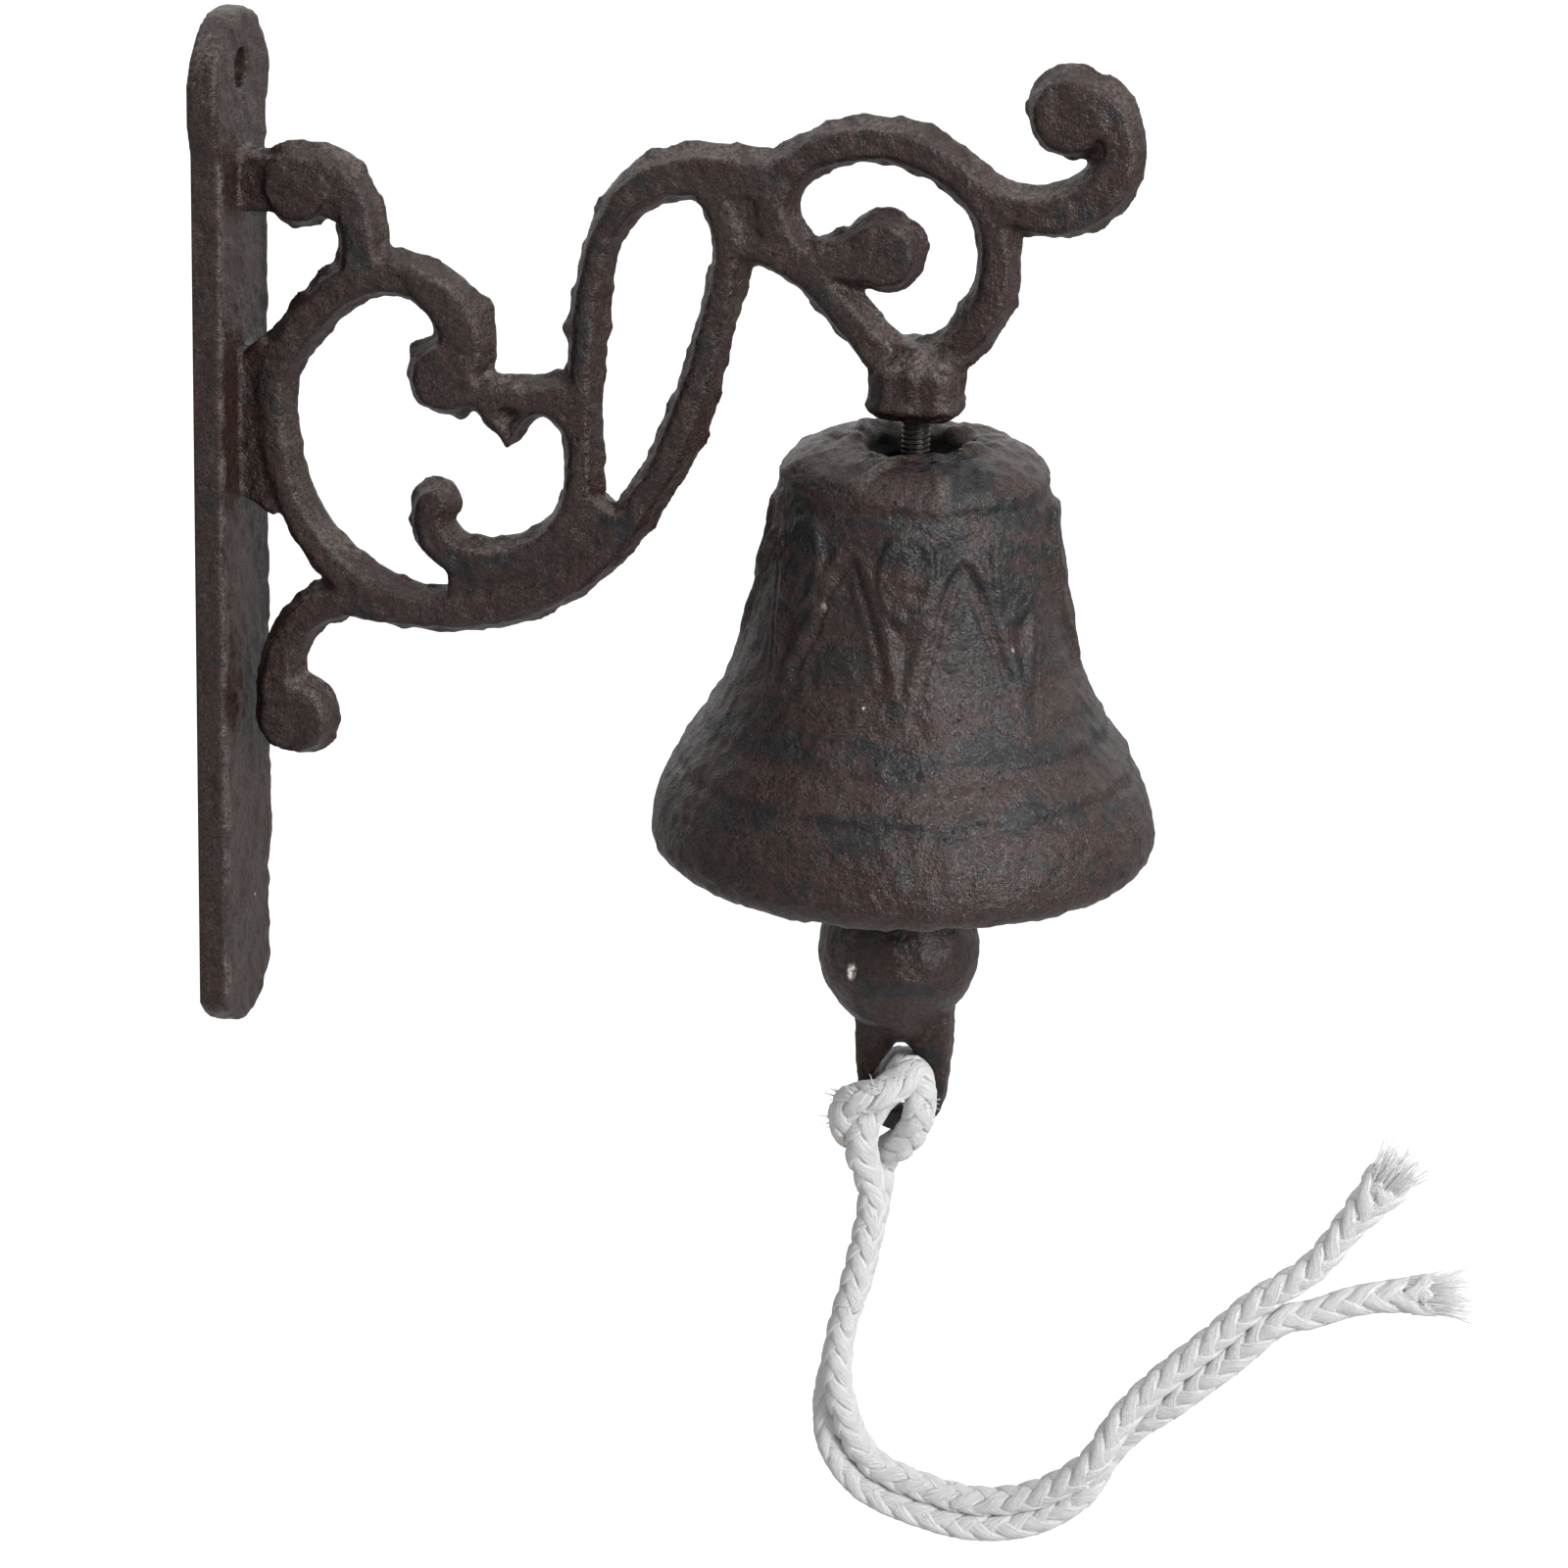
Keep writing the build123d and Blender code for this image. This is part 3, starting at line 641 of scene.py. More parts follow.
def cotton_material():
    """White cotton yarn: fine fibres along each yarn, and painted shade that greys the gaps between the
    yarns.
    """
    s = Shader("cotton_cord")
    yarn = s.node("ShaderNodeCombineXYZ", {
        "X": s.attribute("yarn_along"),
        "Y": s.attribute("yarn_around"),
        "Z": s.attribute("yarn_number"),
    }).outputs["Vector"]
    place = s.node("ShaderNodeMapping", {"Vector": yarn, "Scale": (0.35, 5.0, 3.7)}).outputs["Vector"]
    one_unit = 1 / MM
    fibres = s.noise(one_unit, 4.0, 0.62, 0.25, place)
    # Painted shade: the sides of each yarn that turn in under its neighbours are painted grey.
    gap_shade = s.spread(s.attribute("yarn_depth"), 0.05, 0.65, 0.85, 0.0)
    colour = s.blend(s.spread(fibres, 0.3, 0.7), YARN_SHADE, YARN_LIGHT)
    colour = s.blend(gap_shade, colour, YARN_GAP_SHADE)
    colour = s.blend(s.attribute("stain"), colour, STAIN_BROWN)
    normal = s.relief(fibres, 0.9)
    normal = s.relief(s.noise(0.5, 3.0, 0.6), 0.2, normal)
    s.surface.inputs["Subsurface Radius"].default_value = (0.002, 0.002, 0.002)
    return s.finish(colour, 0.95, normal, Subsurface_Weight=0.3, Sheen_Weight=0.3, Specular_IOR_Level=0.2)


def paint(piece, material):
    """Gives a piece one material."""
    piece.data.materials.clear()
    piece.data.materials.append(material)


# ==================== castings
def centre_x(node):
    """The middle of a CAD node's box along X, in millimetres."""
    low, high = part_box(node)
    return (low.x + high.x) / 2 / MM


def square_boss(points, axis_x):
    """Moves the round boss's skin out to a square with cut corners, and fills its lower edge."""
    x = points[:, 0] - axis_x
    y = points[:, 1]
    z = points[:, 2]
    eighth = np.abs((np.arctan2(y, x) + pi / 4) % (pi / 2) - pi / 4)
    reach = np.minimum(1 / np.cos(eighth), BOSS_CORNER / np.cos(pi / 4 - eighth))
    flare = 1 + BOSS_FLARE * bump(z, BOSS_FOOT_Z + 1.6, 1.7)
    share = within(z, (BOSS_FOOT_Z - 1.5, BOSS_FOOT_Z - 0.5), (BOSS_TOP_Z - 1, BOSS_TOP_Z + 2))
    share *= within(np.hypot(x, y), BOSS_INSIDE, BOSS_OUTSIDE)
    scale = 1 + share * (BOSS_HALF * reach * flare - 1)
    return np.stack([axis_x + x * scale, y * scale, z], axis=1)


def cast_lumps(points):
    """Height of the cast lumps that stand on the scrollwork."""
    x, y, z = points.T
    lumps = (
        height * bump(np.hypot(x - lump_x, z - lump_z), 0, radius)
        for lump_x, lump_z, radius, height in LUMPS
    )
    return sum(lumps) * bump(y, 0, 3.0)


def bracket_casting():
    """The bracket with rounded edges and an uneven sand-cast skin; its back stays flat on the wall."""
    piece = welded_copy("bracket_casting", "wall_bracket")
    remesh(piece, BRACKET_VOXEL, 4)
    points = square_boss(points_of(piece), centre_x("eye_bolt"))
    set_points(piece, points)
    normals = normals_of(piece)
    x, y, z = points.T
    facing = np.abs(normals[:, 1])
    scroll = ramp(x, *STRIP_END)
    # Painted shade: the crease mask paints bevels that face down and toward the wall near black, and also
    # cuts a shallow groove.
    shaded = ramp(-normals[:, 2] - 0.5 * normals[:, 0], -0.25, 0.25)
    crease_shade = bump(facing, 0.72, 0.17) * ramp(np.abs(y), 3.4, 4.6) * scroll * shaded
    crease_shade *= ramp(noise(points, 9.0, 21), -0.7, 0.0)
    # Painted highlight: the bead along the wall strip's edge is raised and also painted pale grey.
    bead = bump(x, STRIP_EDGE_X, 0.9) * ramp(np.abs(y), *STRIP_EDGE_Y) * ramp(-z, 14, 18) * (1 - scroll)
    bead *= ramp(noise(points, 6.0, 22), -0.5, 0.2)
    parting = bump(y, 0, 0.9) * scroll * ramp(noise(points, 2.8, 23), -0.2, 0.7)
    height = cast_noise(points, BRACKET_WAVES, 11) + cast_lumps(points)
    height += FLASH_HEIGHT * parting + BEAD_HEIGHT * bead - CREASE_DEPTH * crease_shade
    set_points(piece, points + normals * (height * ramp(x, *WALL_SKIN))[:, None])
    # Painted light: faces that turn up and to the left are painted pale grey, as if lit from there; the
    # material breaks this into patches.
    upward = 0.6 * normals[:, 2] - 0.3 * normals[:, 0]
    store(piece, "raised", ramp(facing, 0.75, 0.95) * ramp(np.abs(y), 2.5, 4.0))
    store(piece, "crease_shade", crease_shade)
    store(piece, "bead", bead)
    store(piece, "worn", ramp(upward + 0.5 * noise(points, 14.0, 24), -0.3, 0.5))
    smooth_shaded(piece)
    return piece


def bell_profile(axis_x):
    """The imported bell's half section as (radius, z): its outside from the hole, then its inside."""
    axis = Vector((axis_x, 0)) * MM
    work = bmesh.new()
    work.from_mesh(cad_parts["bell"].data)
    bmesh.ops.remove_doubles(work, verts=work.verts, dist=1e-6)
    turn = radians(7)
    cut = bmesh.ops.bisect_plane(
        work,
        geom=work.verts[:] + work.edges[:] + work.faces[:],
        plane_co=(axis.x, 0, 0),
        plane_no=(sin(turn), cos(turn), 0),
    )["geom_cut"]
    neighbours = {}
    for edge in cut:
        if isinstance(edge, bmesh.types.BMEdge) and all(v.co.x > axis.x for v in edge.verts):
            first, second = edge.verts
            neighbours.setdefault(first, []).append(second)
            neighbours.setdefault(second, []).append(first)

    def place(vertex):
        return (vertex.co.xy - axis).length / MM, vertex.co.z / MM

    def off_hole_top(vertex):
        radius, z = place(vertex)
        return round(abs(radius - HOLE_RADIUS), 2), -z

    start = min(neighbours, key=off_hole_top)
    profile = [place(start)]
    before, here = None, start
    while True:
        ahead = [v for v in neighbours[here] if v is not before]
        if not ahead or ahead[0] is start:
            break
        before, here = here, ahead[0]
        profile.append(place(here))
    work.free()
    profile = np.array(profile)
    if profile[1, 1] < profile[0, 1]:
        profile = np.vstack([profile[:1], profile[:0:-1]])
    return profile


def resampled(line, step):
    """Points a step apart along a line of points."""
    lengths = np.concatenate([[0], np.cumsum(np.linalg.norm(np.diff(line, axis=0), axis=1))])
    count = max(2, int(round(lengths[-1] / step)) + 1)
    marks = np.linspace(0, lengths[-1], count)
    return np.stack([np.interp(marks, lengths, line[:, axis]) for axis in range(line.shape[1])], axis=1)


def arch_relief(drop, angle):
    """Height of the cast pattern on the bell's wall: pointed arches, ovals hung between them, and rings."""
    spacing = 360 / ARCH_COUNT
    off = (angle - ARCH_PHASE + spacing / 2) % spacing - spacing / 2
    down = np.clip((drop - ARCH_TOP) / (ARCH_FOOT - ARCH_TOP), 0, 1)
    half = ARCH_FILL * spacing / 2 * down**ARCH_POINT
    scale = np.radians(1) * np.interp(drop, WALL_DROPS, WALL_RADII)
    reach = (half - np.abs(off)) * scale
    arch = RIDGE_HEIGHT * bump(reach, 0.0, RIDGE_WIDTH) - HOLLOW_DEPTH * ramp(reach, *HOLLOW_REACH)
    arch += RIB_HEIGHT * bump(reach, RIB_REACH, 0.9)
    arch *= within(drop, (ARCH_TOP - 1, ARCH_TOP + 3), (ARCH_FOOT - 8, ARCH_FOOT + 4))
    across = (spacing / 2 - np.abs(off)) * scale
    oval_reach = OVAL_HALF_WIDTH - np.hypot(across, (drop - OVAL_DROP) * OVAL_SQUASH)
    oval = (1.0 * ramp(oval_reach, 0, 1.4) + 0.35 * bump(oval_reach, 0.9, 0.8)) * ramp(drop, 10, 13)
    return arch + oval + sum(height * bump(drop, place, width) for place, height, width in RINGS)


def chipped(points, chips):
    """1 inside small upright chips, each given by its place and half height in millimetres."""
    mask = np.zeros(len(points))
    for place, size in chips:
        away = (points - np.array(place)) / np.array((0.45, 0.8, 1.0))
        mask = np.maximum(mask, 1 - ramp(np.linalg.norm(away, axis=1) / size, 0.6, 1.1))
    return mask


def bell_chips(axis_x, crown_z):
    """Place and half height of each chip on the bell."""
    return [
        ((axis_x + radius * cos(radians(angle)), radius * sin(radians(angle)), crown_z - drop), size)
        for angle, drop, radius, size in BELL_CHIPS
    ]


def bell_casting():
    """The bell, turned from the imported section, with its cast pattern, ragged dish and sand-cast skin."""
    axis_x = centre_x("bell")
    crown_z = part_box("bell")[1].z / MM
    profile = bell_profile(axis_x)
    lip = int(np.argmin(profile[:, 1] + 0.01 * profile[:, 0]))
    outside = resampled(profile[: lip + 1], BELL_OUTSIDE_STEP)
    inside = resampled(np.vstack([profile[lip:], profile[:1]]), BELL_INSIDE_STEP)
    section = np.vstack([outside, inside[1:-1]])
    angle = np.tile(np.radians(np.arange(BELL_COLUMNS) * 360 / BELL_COLUMNS), len(section))
    degrees = np.degrees(angle)
    radius, z = np.repeat(section, BELL_COLUMNS, axis=0).T
    points = np.stack([axis_x + radius * np.cos(angle), radius * np.sin(angle), z], axis=1)
    piece = make_piece("bell_casting", points, grid_faces(len(section), BELL_COLUMNS, closed_rows=True))
    face_outwards(piece)
    normals = normals_of(piece)
    drop = crown_z - z
    outer = (np.arange(len(points)) < (len(outside) - 3) * BELL_COLUMNS).astype(float)
    # The cast pattern, which wanders a little.
    wander = noise(points, 7.0, 46)
    relief = arch_relief(drop + 0.7 * wander, degrees + 1.3 * noise(points, 8.0, 47))
    relief *= outer * ramp(radius, *WALL_START) * (0.85 + 0.3 * wander)
    # The ragged dish round the hole, and its raised lip.
    lip_radius = DISH_LIP + 1.5 * noise(points, 8.0, 48)
    ragged = 0.9 * noise(points, 3.6, 41) + 0.45 * noise(points, 1.7, 42) - 0.4
    ragged *= outer * within(radius, DISH_START, DISH_END)
    ragged += 1.1 * outer * bump(radius, lip_radius, 1.3) * ramp(noise(points, 7.0, 49), -0.6, 0.2)
    # Folds that run out over the crown, and wrinkles on one shoulder.
    across = angle * 9 + 0.25 * radius + noise(points, 5.0, 44)
    fold = outer * within(radius, CROWN_START, CROWN_END) * ramp(np.sin(across), 0.55, 0.95)
    fold *= ramp(noise(points, 8.0, 43), -0.25, 0.35)
    wrinkled = outer * bump(degrees, *WRINKLE_ANGLE) * bump(drop, 5, 5)
    folds = 0.55 * fold + 0.8 * wrinkled * noise(points, 2.2, 45)
    skin = cast_noise(points, BELL_WAVES, 31) * np.where(outer > 0, 1.0, 1.3) * ramp(radius, 5.8, 7.5)
    set_points(piece, points + normals * (relief + ragged + folds + skin)[:, None])
    banded = sum(bump(drop, band, 4.0) for band in DARK_BANDS)
    # Painted light: the side under the key light gets more blue-black paint through raised, standing in for
    # its cool sheen.
    lit_centre, lit_width = LIT_ANGLE
    lit_side = bump((degrees - lit_centre + 180) % 360 - 180, 0, lit_width) * (1 - ramp(drop, 46, 60))
    raised = 0.25 + 0.4 * banded + 0.5 * lit_side + 0.25 * relief + wrinkled
    store(piece, "raised", np.clip(raised, 0, 1))
    # Painted shade: near black where the cast pattern dips into grooves.
    store(piece, "crease_shade", ramp(-relief, 0.2, 0.75) * ramp(noise(points, 6.0, 51), -0.8, 0.1))
    store(piece, "fold", 0.7 * fold)
    # Painted shade: near black in the dish round the hole.
    store(piece, "dish", 1 - ramp(radius + 0.8 * noise(points, 3.0, 50), 9.0, 11.5))
    store(piece, "chip", chipped(points, bell_chips(axis_x, crown_z)))
    smooth_shaded(piece)
    return piece


def clapper_casting():
    """The clapper with a waisted neck above a stirrup whose legs taper, and an uneven skin."""
    piece = welded_copy("clapper_casting", "clapper")
    remesh(piece, CLAPPER_VOXEL, 14)
    axis_x = centre_x("clapper")
    x, y, z = points_of(piece).T
    neck_x = axis_x + NECK_SHIFT * (1 - ramp(z, *NECK_SHIFT_Z))
    x = neck_x + (x - neck_x) * (1 - STIRRUP_NARROWER * bump(z, STIRRUP_Z, 6.0))
    y = y * (1 + NECK_DEEPER * bump(z, NECK_Z, 4.5))
    points = np.stack([x, y, z], axis=1)
    set_points(piece, points)
    normals = normals_of(piece)
    seam = radians(SEAM_ANGLE)
    beside = y * cos(seam) - (x - axis_x) * sin(seam)
    facing = (x - axis_x) * cos(seam) + y * sin(seam)
    ball = within(z, BALL_FOOT_Z, BALL_TOP_Z)
    step = ball * ramp(facing, 2, 6) * within(beside, (-0.4, 0.4), (4, 17))
    height = cast_noise(points, CLAPPER_WAVES, 61) - SEAM_STEP * step
    set_points(piece, points + normals * height[:, None])
    # Painted reflection: the ball beside its seam is painted paler, where it catches the white surround at
    # a grazing angle.
    before_seam = ball * ramp(facing, 0, 4) * (1 - ramp(beside, -0.6, 0.2))
    store(piece, "worn", before_seam * ramp(noise(points, 2.6, 66), -0.5, 0.7))
    store(piece, "chip", chipped(points, [CLAPPER_CHIP]))
    smooth_shaded(piece)
    return piece


# ==================== bolt, nut, washer, link
def turned_piece(name, section, centre_x_mm, columns, radius_shift=None):
    """A closed solid turned from (radius, z) points; radius_shift adds to the radius by angle and z."""
    angle = np.tile(np.arange(columns) * 2 * pi / columns, len(section))
    radius, z = np.repeat(np.array(section, float), columns, axis=0).T
    if radius_shift is not None:
        radius = radius + radius_shift(angle, z)
    points = np.stack([centre_x_mm + radius * np.cos(angle), radius * np.sin(angle), z], axis=1)
    faces = grid_faces(len(section), columns)
    faces.append(tuple(range(columns))[::-1])
    faces.append(tuple(range(len(points) - columns, len(points))))
    piece = make_piece(name, points, faces)
    face_outwards(piece)
    return piece


def swept_ring(name, centre, ring_radius, wire_radius, around=96, across=24):
    """Round ring standing in the XZ plane."""
    turn = np.repeat(np.arange(around) * 2 * pi / around, across)
    side = np.tile(np.arange(across) * 2 * pi / across, around)
    reach = ring_radius + wire_radius * np.cos(side)
    offsets = np.stack([reach * np.cos(turn), wire_radius * np.sin(side), reach * np.sin(turn)], axis=1)
    piece = make_piece(name, np.array(centre) + offsets, grid_faces(around, across, closed_rows=True))
    face_outwards(piece)
    return piece


def thread_cut(angle, z):
    """Change in the rod's radius: nothing at the thread's crest, its full depth at the root."""
    phase = (z / THREAD_PITCH - angle / (2 * pi)) % 1.0
    return -THREAD_DEPTH * np.clip(1.25 - 2.5 * np.abs(phase - 0.5), 0, 1)


def bolt_piece():
    """Threaded rod with its forged eye, as one skin."""
    low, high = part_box("eye_bolt")
    axis_x = centre_x("eye_bolt")
    eye_half = (high.x - low.x) / 2 / MM
    wire = (high.y - low.y) / 2 / MM - 1.0
    eye_z = low.z / MM + eye_half
    foot = eye_z + eye_half - 1
    rod_section = [(THREAD_RADIUS, z) for z in np.arange(foot, high.z / MM, 0.1)]
    neck_section = [(2.6, foot + 1.5), (2.9, foot), (2.4, foot - 2.0)]
    rod = turned_piece("rod", rod_section, axis_x, 72, thread_cut)
    neck = turned_piece("neck", neck_section, axis_x, 48)
    ring = swept_ring("eye", (axis_x, 0, eye_z), eye_half - wire, wire)
    piece = join("bolt_thread", [rod, neck, ring])
    remesh(piece, BOLT_VOXEL, 1)
    smooth_shaded(piece)
    return piece


def softened_copy(name, node, waves, seed):
    """A CAD node's shape with rounded edges and a slightly uneven skin."""
    piece = welded_copy(name, node)
    remesh(piece, STEEL_VOXEL, 2)
    points = points_of(piece)
    height = cast_noise(points, waves, seed)
    set_points(piece, points + normals_of(piece) * height[:, None])
    smooth_shaded(piece)
    return piece


# ==================== cord
def smooth_line(points, step):
    """A smooth curve through points, sampled about a step apart."""
    points = np.asarray(points, float)
    padded = np.vstack([2 * points[0] - points[1], points, 2 * points[-1] - points[-2]])
    fine = []
    for index in range(1, len(padded) - 2):
        p0, p1, p2, p3 = padded[index - 1: index + 3]
        for t in np.linspace(0, 1, 24, endpoint=False):
            fine.append(0.5 * (
                2 * p1 + (p2 - p0) * t + (2 * p0 - 5 * p1 + 4 * p2 - p3) * t**2
                + (3 * p1 - p0 - 3 * p2 + p3) * t**3
            ))
    fine.append(points[-1])
    return resampled(np.array(fine), step)


def pair_strand(side):
    """Places of one strand of the pair, from the hitch to the fork."""
    line = np.array([(x, 0.0, z) for x, z in PAIR_LINE])
    along = unit(np.gradient(line, axis=0))
    inward = np.stack([-along[:, 2], np.zeros(len(line)), along[:, 0]], axis=1)
    turn = np.radians(PAIR_TURN)
    toward_front = np.array([0.0, -1.0, 0.0])
    offset = toward_front * np.cos(turn)[:, None] + inward * np.sin(turn)[:, None]
    return line + side * PAIR_SPACING * offset


def cord_line():
    """The whole cord's centre line, from the upper tail's end to the lower tail's end."""
    top_tail = [(x, -TAIL_Y, z) for x, z in TOP_TAIL]
    low_tail = [(x, TAIL_Y, z) for x, z in LOW_TAIL]
    front = list(map(tuple, pair_strand(1)))
    back = list(map(tuple, pair_strand(-1)))
    return smooth_line(top_tail[::-1] + front[::-1] + HITCH_LINE + back + low_tail, CORD_STEP)


def carried_frames(line):
    """Two directions across the line at each point, carried along it without twisting."""
    along = unit(np.gradient(line, axis=0))
    first = np.zeros_like(line)
    guess = np.cross(along[0], (0, 1, 0))
    for index, direction in enumerate(along):
        guess = unit(guess - direction * guess.dot(direction))
        first[index] = guess
    return along, first, np.cross(along, first)


def yarn_centre(line, first, second, length, number, way):
    """Places of one yarn's centre, weaving over two and under two of the yarns that cross it."""
    turn = way * 2 * pi * length / BRAID_PITCH + number * pi / 2
    wave = 4 * pi * length / BRAID_PITCH
    weave = np.cos(wave + number * pi - pi / 4) if way > 0 else -np.cos(wave - number * pi + pi / 4)
    from_ends = np.exp(-length / LOOSE_LENGTH) + np.exp((length - length[-1]) / LOOSE_LENGTH)
    slack = 1 + HITCH_SLACK * ramp(line[:, 2], *HITCH_Z)
    reach = (BRAID_RADIUS + BRAID_SWING * weave) * slack + LOOSE_SPREAD * from_ends
    outward = first * np.cos(turn)[:, None] + second * np.sin(turn)[:, None]
    return line + outward * reach[:, None], outward, weave


def add_tube(points, faces, centres, sides, place):
    """Adds a closed tube along centres; place(index, angle) gives each point of its skin."""
    base = len(points)
    for index in range(len(centres)):
        for side in sides:
            points.append(place(index, side))
    for a, b, c, d in grid_faces(len(centres), len(sides)):
        faces.append((base + a, base + b, base + c, base + d))
    last = base + (len(centres) - 1) * len(sides)
    faces.append(tuple(base + i for i in range(len(sides)))[::-1])
    faces.append(tuple(last + i for i in range(len(sides))))


def add_fibres(points, faces, values, end, along, count, reach, length, seed):
    """Adds loose fibres that fan out from a place."""
    along = unit(np.array(along, float))
    aside = unit(np.cross(along, (0.0, 1.0, 0.0)))
    above = np.cross(aside, along)
    sides = np.arange(3) * 2 * pi / 3
    for index in range(count):
        spin = index * GOLDEN_ANGLE
        outward = aside * cos(spin) + above * sin(spin)
        share = ((index + 0.5) / count) ** 0.5
        lean, stretch, curl = hashed(np.array([[index, seed, 0], [index, seed, 1], [index, seed, 2]]), 5)
        across = np.cross(along, outward)
        steps = np.linspace(0, 1, 7)
        run = length * (0.8 + 0.35 * stretch)
        centres = [
            end + outward * reach * share - along * 0.45 * length * (1 - t) + along * run * t
            + (outward * (0.3 * share + 0.14 * lean) + across * 0.25 * curl) * run * t * t
            for t in steps
        ]
        add_tube(points, faces, centres, sides, lambda i, side: (
            centres[i] + FIBRE_RADIUS * (1 - 0.6 * steps[i]) * (outward * cos(side) + across * sin(side))
        ))
        made = len(steps) * len(sides)
        values["yarn_along"] += [float(index)] * made
        values["yarn_around"] += [spin] * made
        values["yarn_number"] += [index * 3.7] * made
        values["yarn_depth"] += [0.8] * made


def braid(name, line, ranges, wisps=()):
    """Braided cord over stretches of the line, one closed tube for each yarn, frayed at the cord's ends."""
    length = np.arange(len(line)) * np.linalg.norm(np.diff(line, axis=0), axis=1).mean()
    _, first, second = carried_frames(line)
    sides = np.arange(YARN_SIDES) * 2 * pi / YARN_SIDES
    points, faces = [], []
    values = {"yarn_along": [], "yarn_around": [], "yarn_number": [], "yarn_depth": []}
    for yarn in range(2 * YARNS_EACH_WAY):
        way = 1 if yarn < YARNS_EACH_WAY else -1
        centre, outward, weave = yarn_centre(line, first, second, length, yarn % YARNS_EACH_WAY, way)
        along = unit(np.gradient(centre, axis=0))
        sideways = unit(np.cross(along, outward))
        lift = np.cross(sideways, along)
        width = YARN_HALF_WIDTH * (1 + 0.07 * np.sin(length * 1.7 + yarn))
        width *= 1 + HITCH_SLACK * ramp(line[:, 2], *HITCH_Z)
        for start, end in ranges:
            add_tube(points, faces, centre[start:end], sides, lambda step, side: (
                centre[start + step]
                + sideways[start + step] * width[start + step] * cos(side)
                + lift[start + step] * YARN_HALF_THICKNESS * sin(side)
            ))
            for step in range(start, end):
                values["yarn_along"] += [length[step]] * YARN_SIDES
                values["yarn_around"] += list(1.3 * np.cos(sides) + 0.4 * length[step] / BRAID_PITCH)
                values["yarn_number"] += [yarn * 7.3] * YARN_SIDES
                # yarn_depth is low on each yarn's inner side and where it passes under others; the material
                # paints shade there.
                values["yarn_depth"] += list(np.clip(0.5 + 0.5 * np.sin(sides) + 0.2 * weave[step], 0, 1))
    if ranges[0][0] == 0:
        reach = 1.3 * STRAND_RADIUS
        for end, inner, seed in ((line[0], line[3], 91), (line[-1], line[-4], 92)):
            add_fibres(points, faces, values, end, end - inner, FIBRES_PER_END, reach, FIBRE_LENGTH, seed)
    for index, (place, toward) in enumerate(wisps):
        root = np.array(place)
        seed = 101 + index
        add_fibres(points, faces, values, root, toward, FIBRES_PER_WISP, WISP_REACH, WISP_LENGTH, seed)
    piece = make_piece(name, points, faces)
    face_outwards(piece)
    for key, value in values.items():
        store(piece, key, value)
    near = np.linalg.norm(np.array(points) - np.array(STAIN), axis=1)
    store(piece, "stain", 0.6 * (1 - ramp(near, 0.5, 2.0)))
    smooth_shaded(piece)
    return piece


def nearest(line, place, start, end):
    """Index of the line's point nearest a place, between two indices."""
    return start + int(np.argmin(np.linalg.norm(line[start:end] - np.array(place), axis=1)))


def cord_pieces(material):
    """The cord in three pieces, each painted and put in place of CAD cord nodes, which are hidden."""
    line = cord_line()
    end = len(line)
    middle = nearest(line, HITCH_MIDDLE, 0, end)
    upper = [nearest(line, UPPER_CUT, 0, middle), nearest(line, UPPER_CUT, middle, end)]
    bight = [nearest(line, BIGHT_CUT, 0, middle), nearest(line, BIGHT_CUT, middle, end)]
    hitch = braid("cord_hitch_braid", line, [(upper[0], upper[1] + 1)], WISPS)
    run = braid("cord_run_braid", line, [(bight[0], upper[0] + 1), (upper[1], bight[1] + 1)])
    tails = braid("cord_tails_braid", line, [(0, bight[0] + 1), (bight[1], end)])
    for piece, first, second, (start, stop), nodes in (
        (hitch, "clapper_body", "cord_upper_run", HITCH_BEND, ["cord_hitch", "cord_upper"]),
        (run, "cord_upper_run", "cord_bight", UPPER_BEND, ["cord_middle"]),
        (tails, "cord_bight", "cord_tails", LOWER_BEND, ["cord_end"]),
    ):
        paint(piece, material)
        Vector(start) * MM
        Vector(stop) * MM
        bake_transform(piece)
        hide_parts(*nodes)


# ==================== stage
def area_light(name, place, size, power):
    """A rectangular soft light, aimed at the object."""
    data = bpy.data.lights.new(name, "AREA")
    data.shape = "RECTANGLE"
    data.size = size[0] * MM
    data.size_y = size[1] * MM
    data.energy = power
    light = put_in_scene(name, data)
    light.location = Vector(place) * MM
    light.rotation_mode = "QUATERNION"
    light.rotation_quaternion = (Vector(LIGHT_TARGET) - Vector(place)).to_track_quat("-Z", "Y")


def surround():
    """White behind the object, dimmer in front of it, so that dark iron keeps bright edges only."""
    world = bpy.data.worlds.new("studio")
    bpy.context.scene.world = world
    world.use_nodes = True
    tree = world.node_tree
    background = tree.nodes["Background"]
    direction = tree.nodes.new("ShaderNodeTexCoord")
    axes = tree.nodes.new("ShaderNodeSeparateXYZ")
    tree.links.new(direction.outputs["Generated"], axes.inputs["Vector"])
    behind = tree.nodes.new("ShaderNodeMapRange")
    for name, value in (("From Min", -0.1), ("From Max", 0.5), ("To Min", AMBIENT), ("To Max", 1.0)):
        behind.inputs[name].default_value = value
    tree.links.new(axes.outputs["Y"], behind.inputs["Value"])
    seen = tree.nodes.new("ShaderNodeLightPath")
    strength = tree.nodes.new("ShaderNodeMath")
    strength.operation = "MAXIMUM"
    tree.links.new(seen.outputs["Is Camera Ray"], strength.inputs[0])
    tree.links.new(behind.outputs["Result"], strength.inputs[1])
    tree.links.new(strength.outputs["Value"], background.inputs["Strength"])
    background.inputs["Color"].default_value = (1, 1, 1, 1)


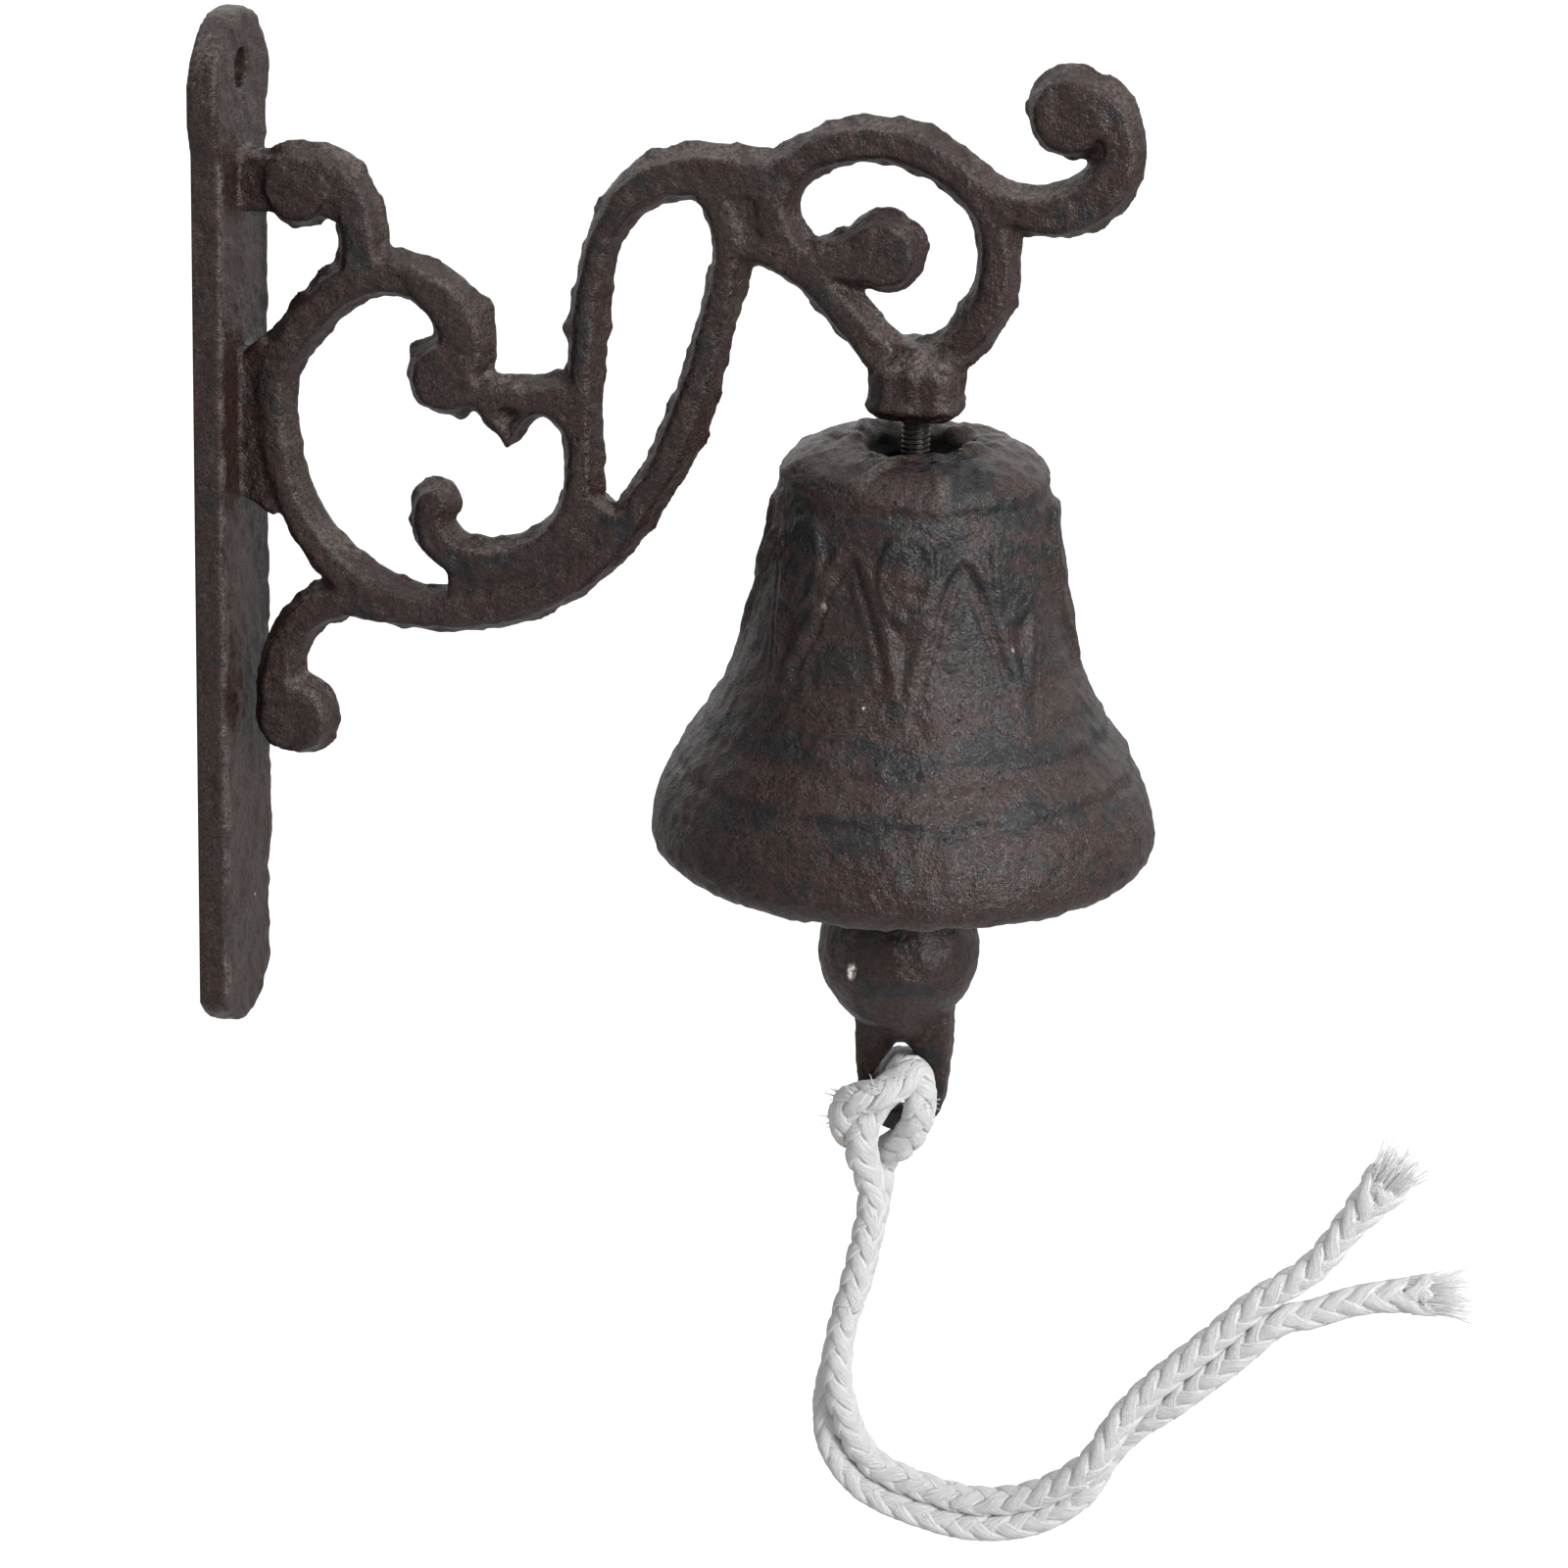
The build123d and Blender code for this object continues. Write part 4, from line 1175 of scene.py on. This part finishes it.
def studio_floor():
    """A plain pale floor well below the cord, clear from underneath."""
    floor_z = cad_low.z / MM - FLOOR_DROP
    corners = [(-1, -1), (1, -1), (1, 1), (-1, 1)]
    points = [(x * FLOOR_HALF, y * FLOOR_HALF, floor_z) for x, y in corners]
    floor = make_piece("floor", points, [(0, 1, 2, 3)])
    s = Shader("floor_pale")
    seen = s.node("ShaderNodeLightPath").outputs["Is Camera Ray"]
    s.link(s.maths("MULTIPLY", seen, 0.9), s.surface.inputs["Emission Strength"])
    s.surface.inputs["Emission Color"].default_value = (1, 1, 1, 1)
    colour = s.blend(s.noise(900.0, 2.0), (0.55, 0.55, 0.55), (0.6, 0.6, 0.6))
    paint(floor, s.finish(colour, 0.9, s.relief(s.noise(30.0, 2.0), 0.01)))
    underneath = s.node("ShaderNodeNewGeometry").outputs["Backfacing"]
    one_sided = s.node("ShaderNodeMixShader", {"Fac": underneath})
    s.link(s.surface.outputs["BSDF"], one_sided.inputs[1])
    s.link(s.node("ShaderNodeBsdfTransparent").outputs["BSDF"], one_sided.inputs[2])
    s.link(one_sided.outputs["Shader"], s.tree.nodes["Material Output"].inputs["Surface"])


def studio():
    """Floor, white surround, a key light on the right, and weak lights on the left and above."""
    studio_floor()
    surround()
    for light in LIGHTS:
        area_light(*light)
    bpy.context.scene.view_settings.view_transform = "Standard"


def camera():
    """The camera at the photograph's viewing angle."""
    azimuth, elevation, roll = (radians(v) for v in (CAMERA_AZIMUTH, CAMERA_ELEVATION, CAMERA_ROLL))
    back = Vector((sin(azimuth) * cos(elevation), -cos(azimuth) * cos(elevation), sin(elevation)))
    data = bpy.data.cameras.new("camera")
    data.sensor_width = 36.0
    data.lens = CAMERA_LENS
    data.clip_end = 100.0
    view = put_in_scene("camera", data)
    view.rotation_mode = "QUATERNION"
    view.rotation_quaternion = (-back).to_track_quat("-Z", "Y") @ Quaternion((0, 0, 1), roll)
    view.location = (Vector(CAMERA_TARGET) + back * CAMERA_DISTANCE) * MM
    bpy.context.scene.camera = view


# ==================== assembly
def put_on(piece, material, body, node):
    """Gives a piece its material, the body it moves with and the CAD node that it replaces."""
    paint(piece, material)
    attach(piece, body)
    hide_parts(node)


steel = steel_material()
put_on(bracket_casting(), bracket_iron_material(), "bracket", "wall_bracket")
put_on(bell_casting(), bell_iron_material(), "bell_shell", "bell")
put_on(clapper_casting(), clapper_iron_material(), "clapper_body", "clapper")
put_on(bolt_piece(), steel, "bracket", "eye_bolt")
for node, body in (("support_nut", "bracket"), ("seat_washer", "seat"), ("clapper_link", "link")):
    put_on(softened_copy(node + "_steel", node, STEEL_WAVES, 71), steel, body, node)
cord_pieces(cotton_material())
studio()
camera()
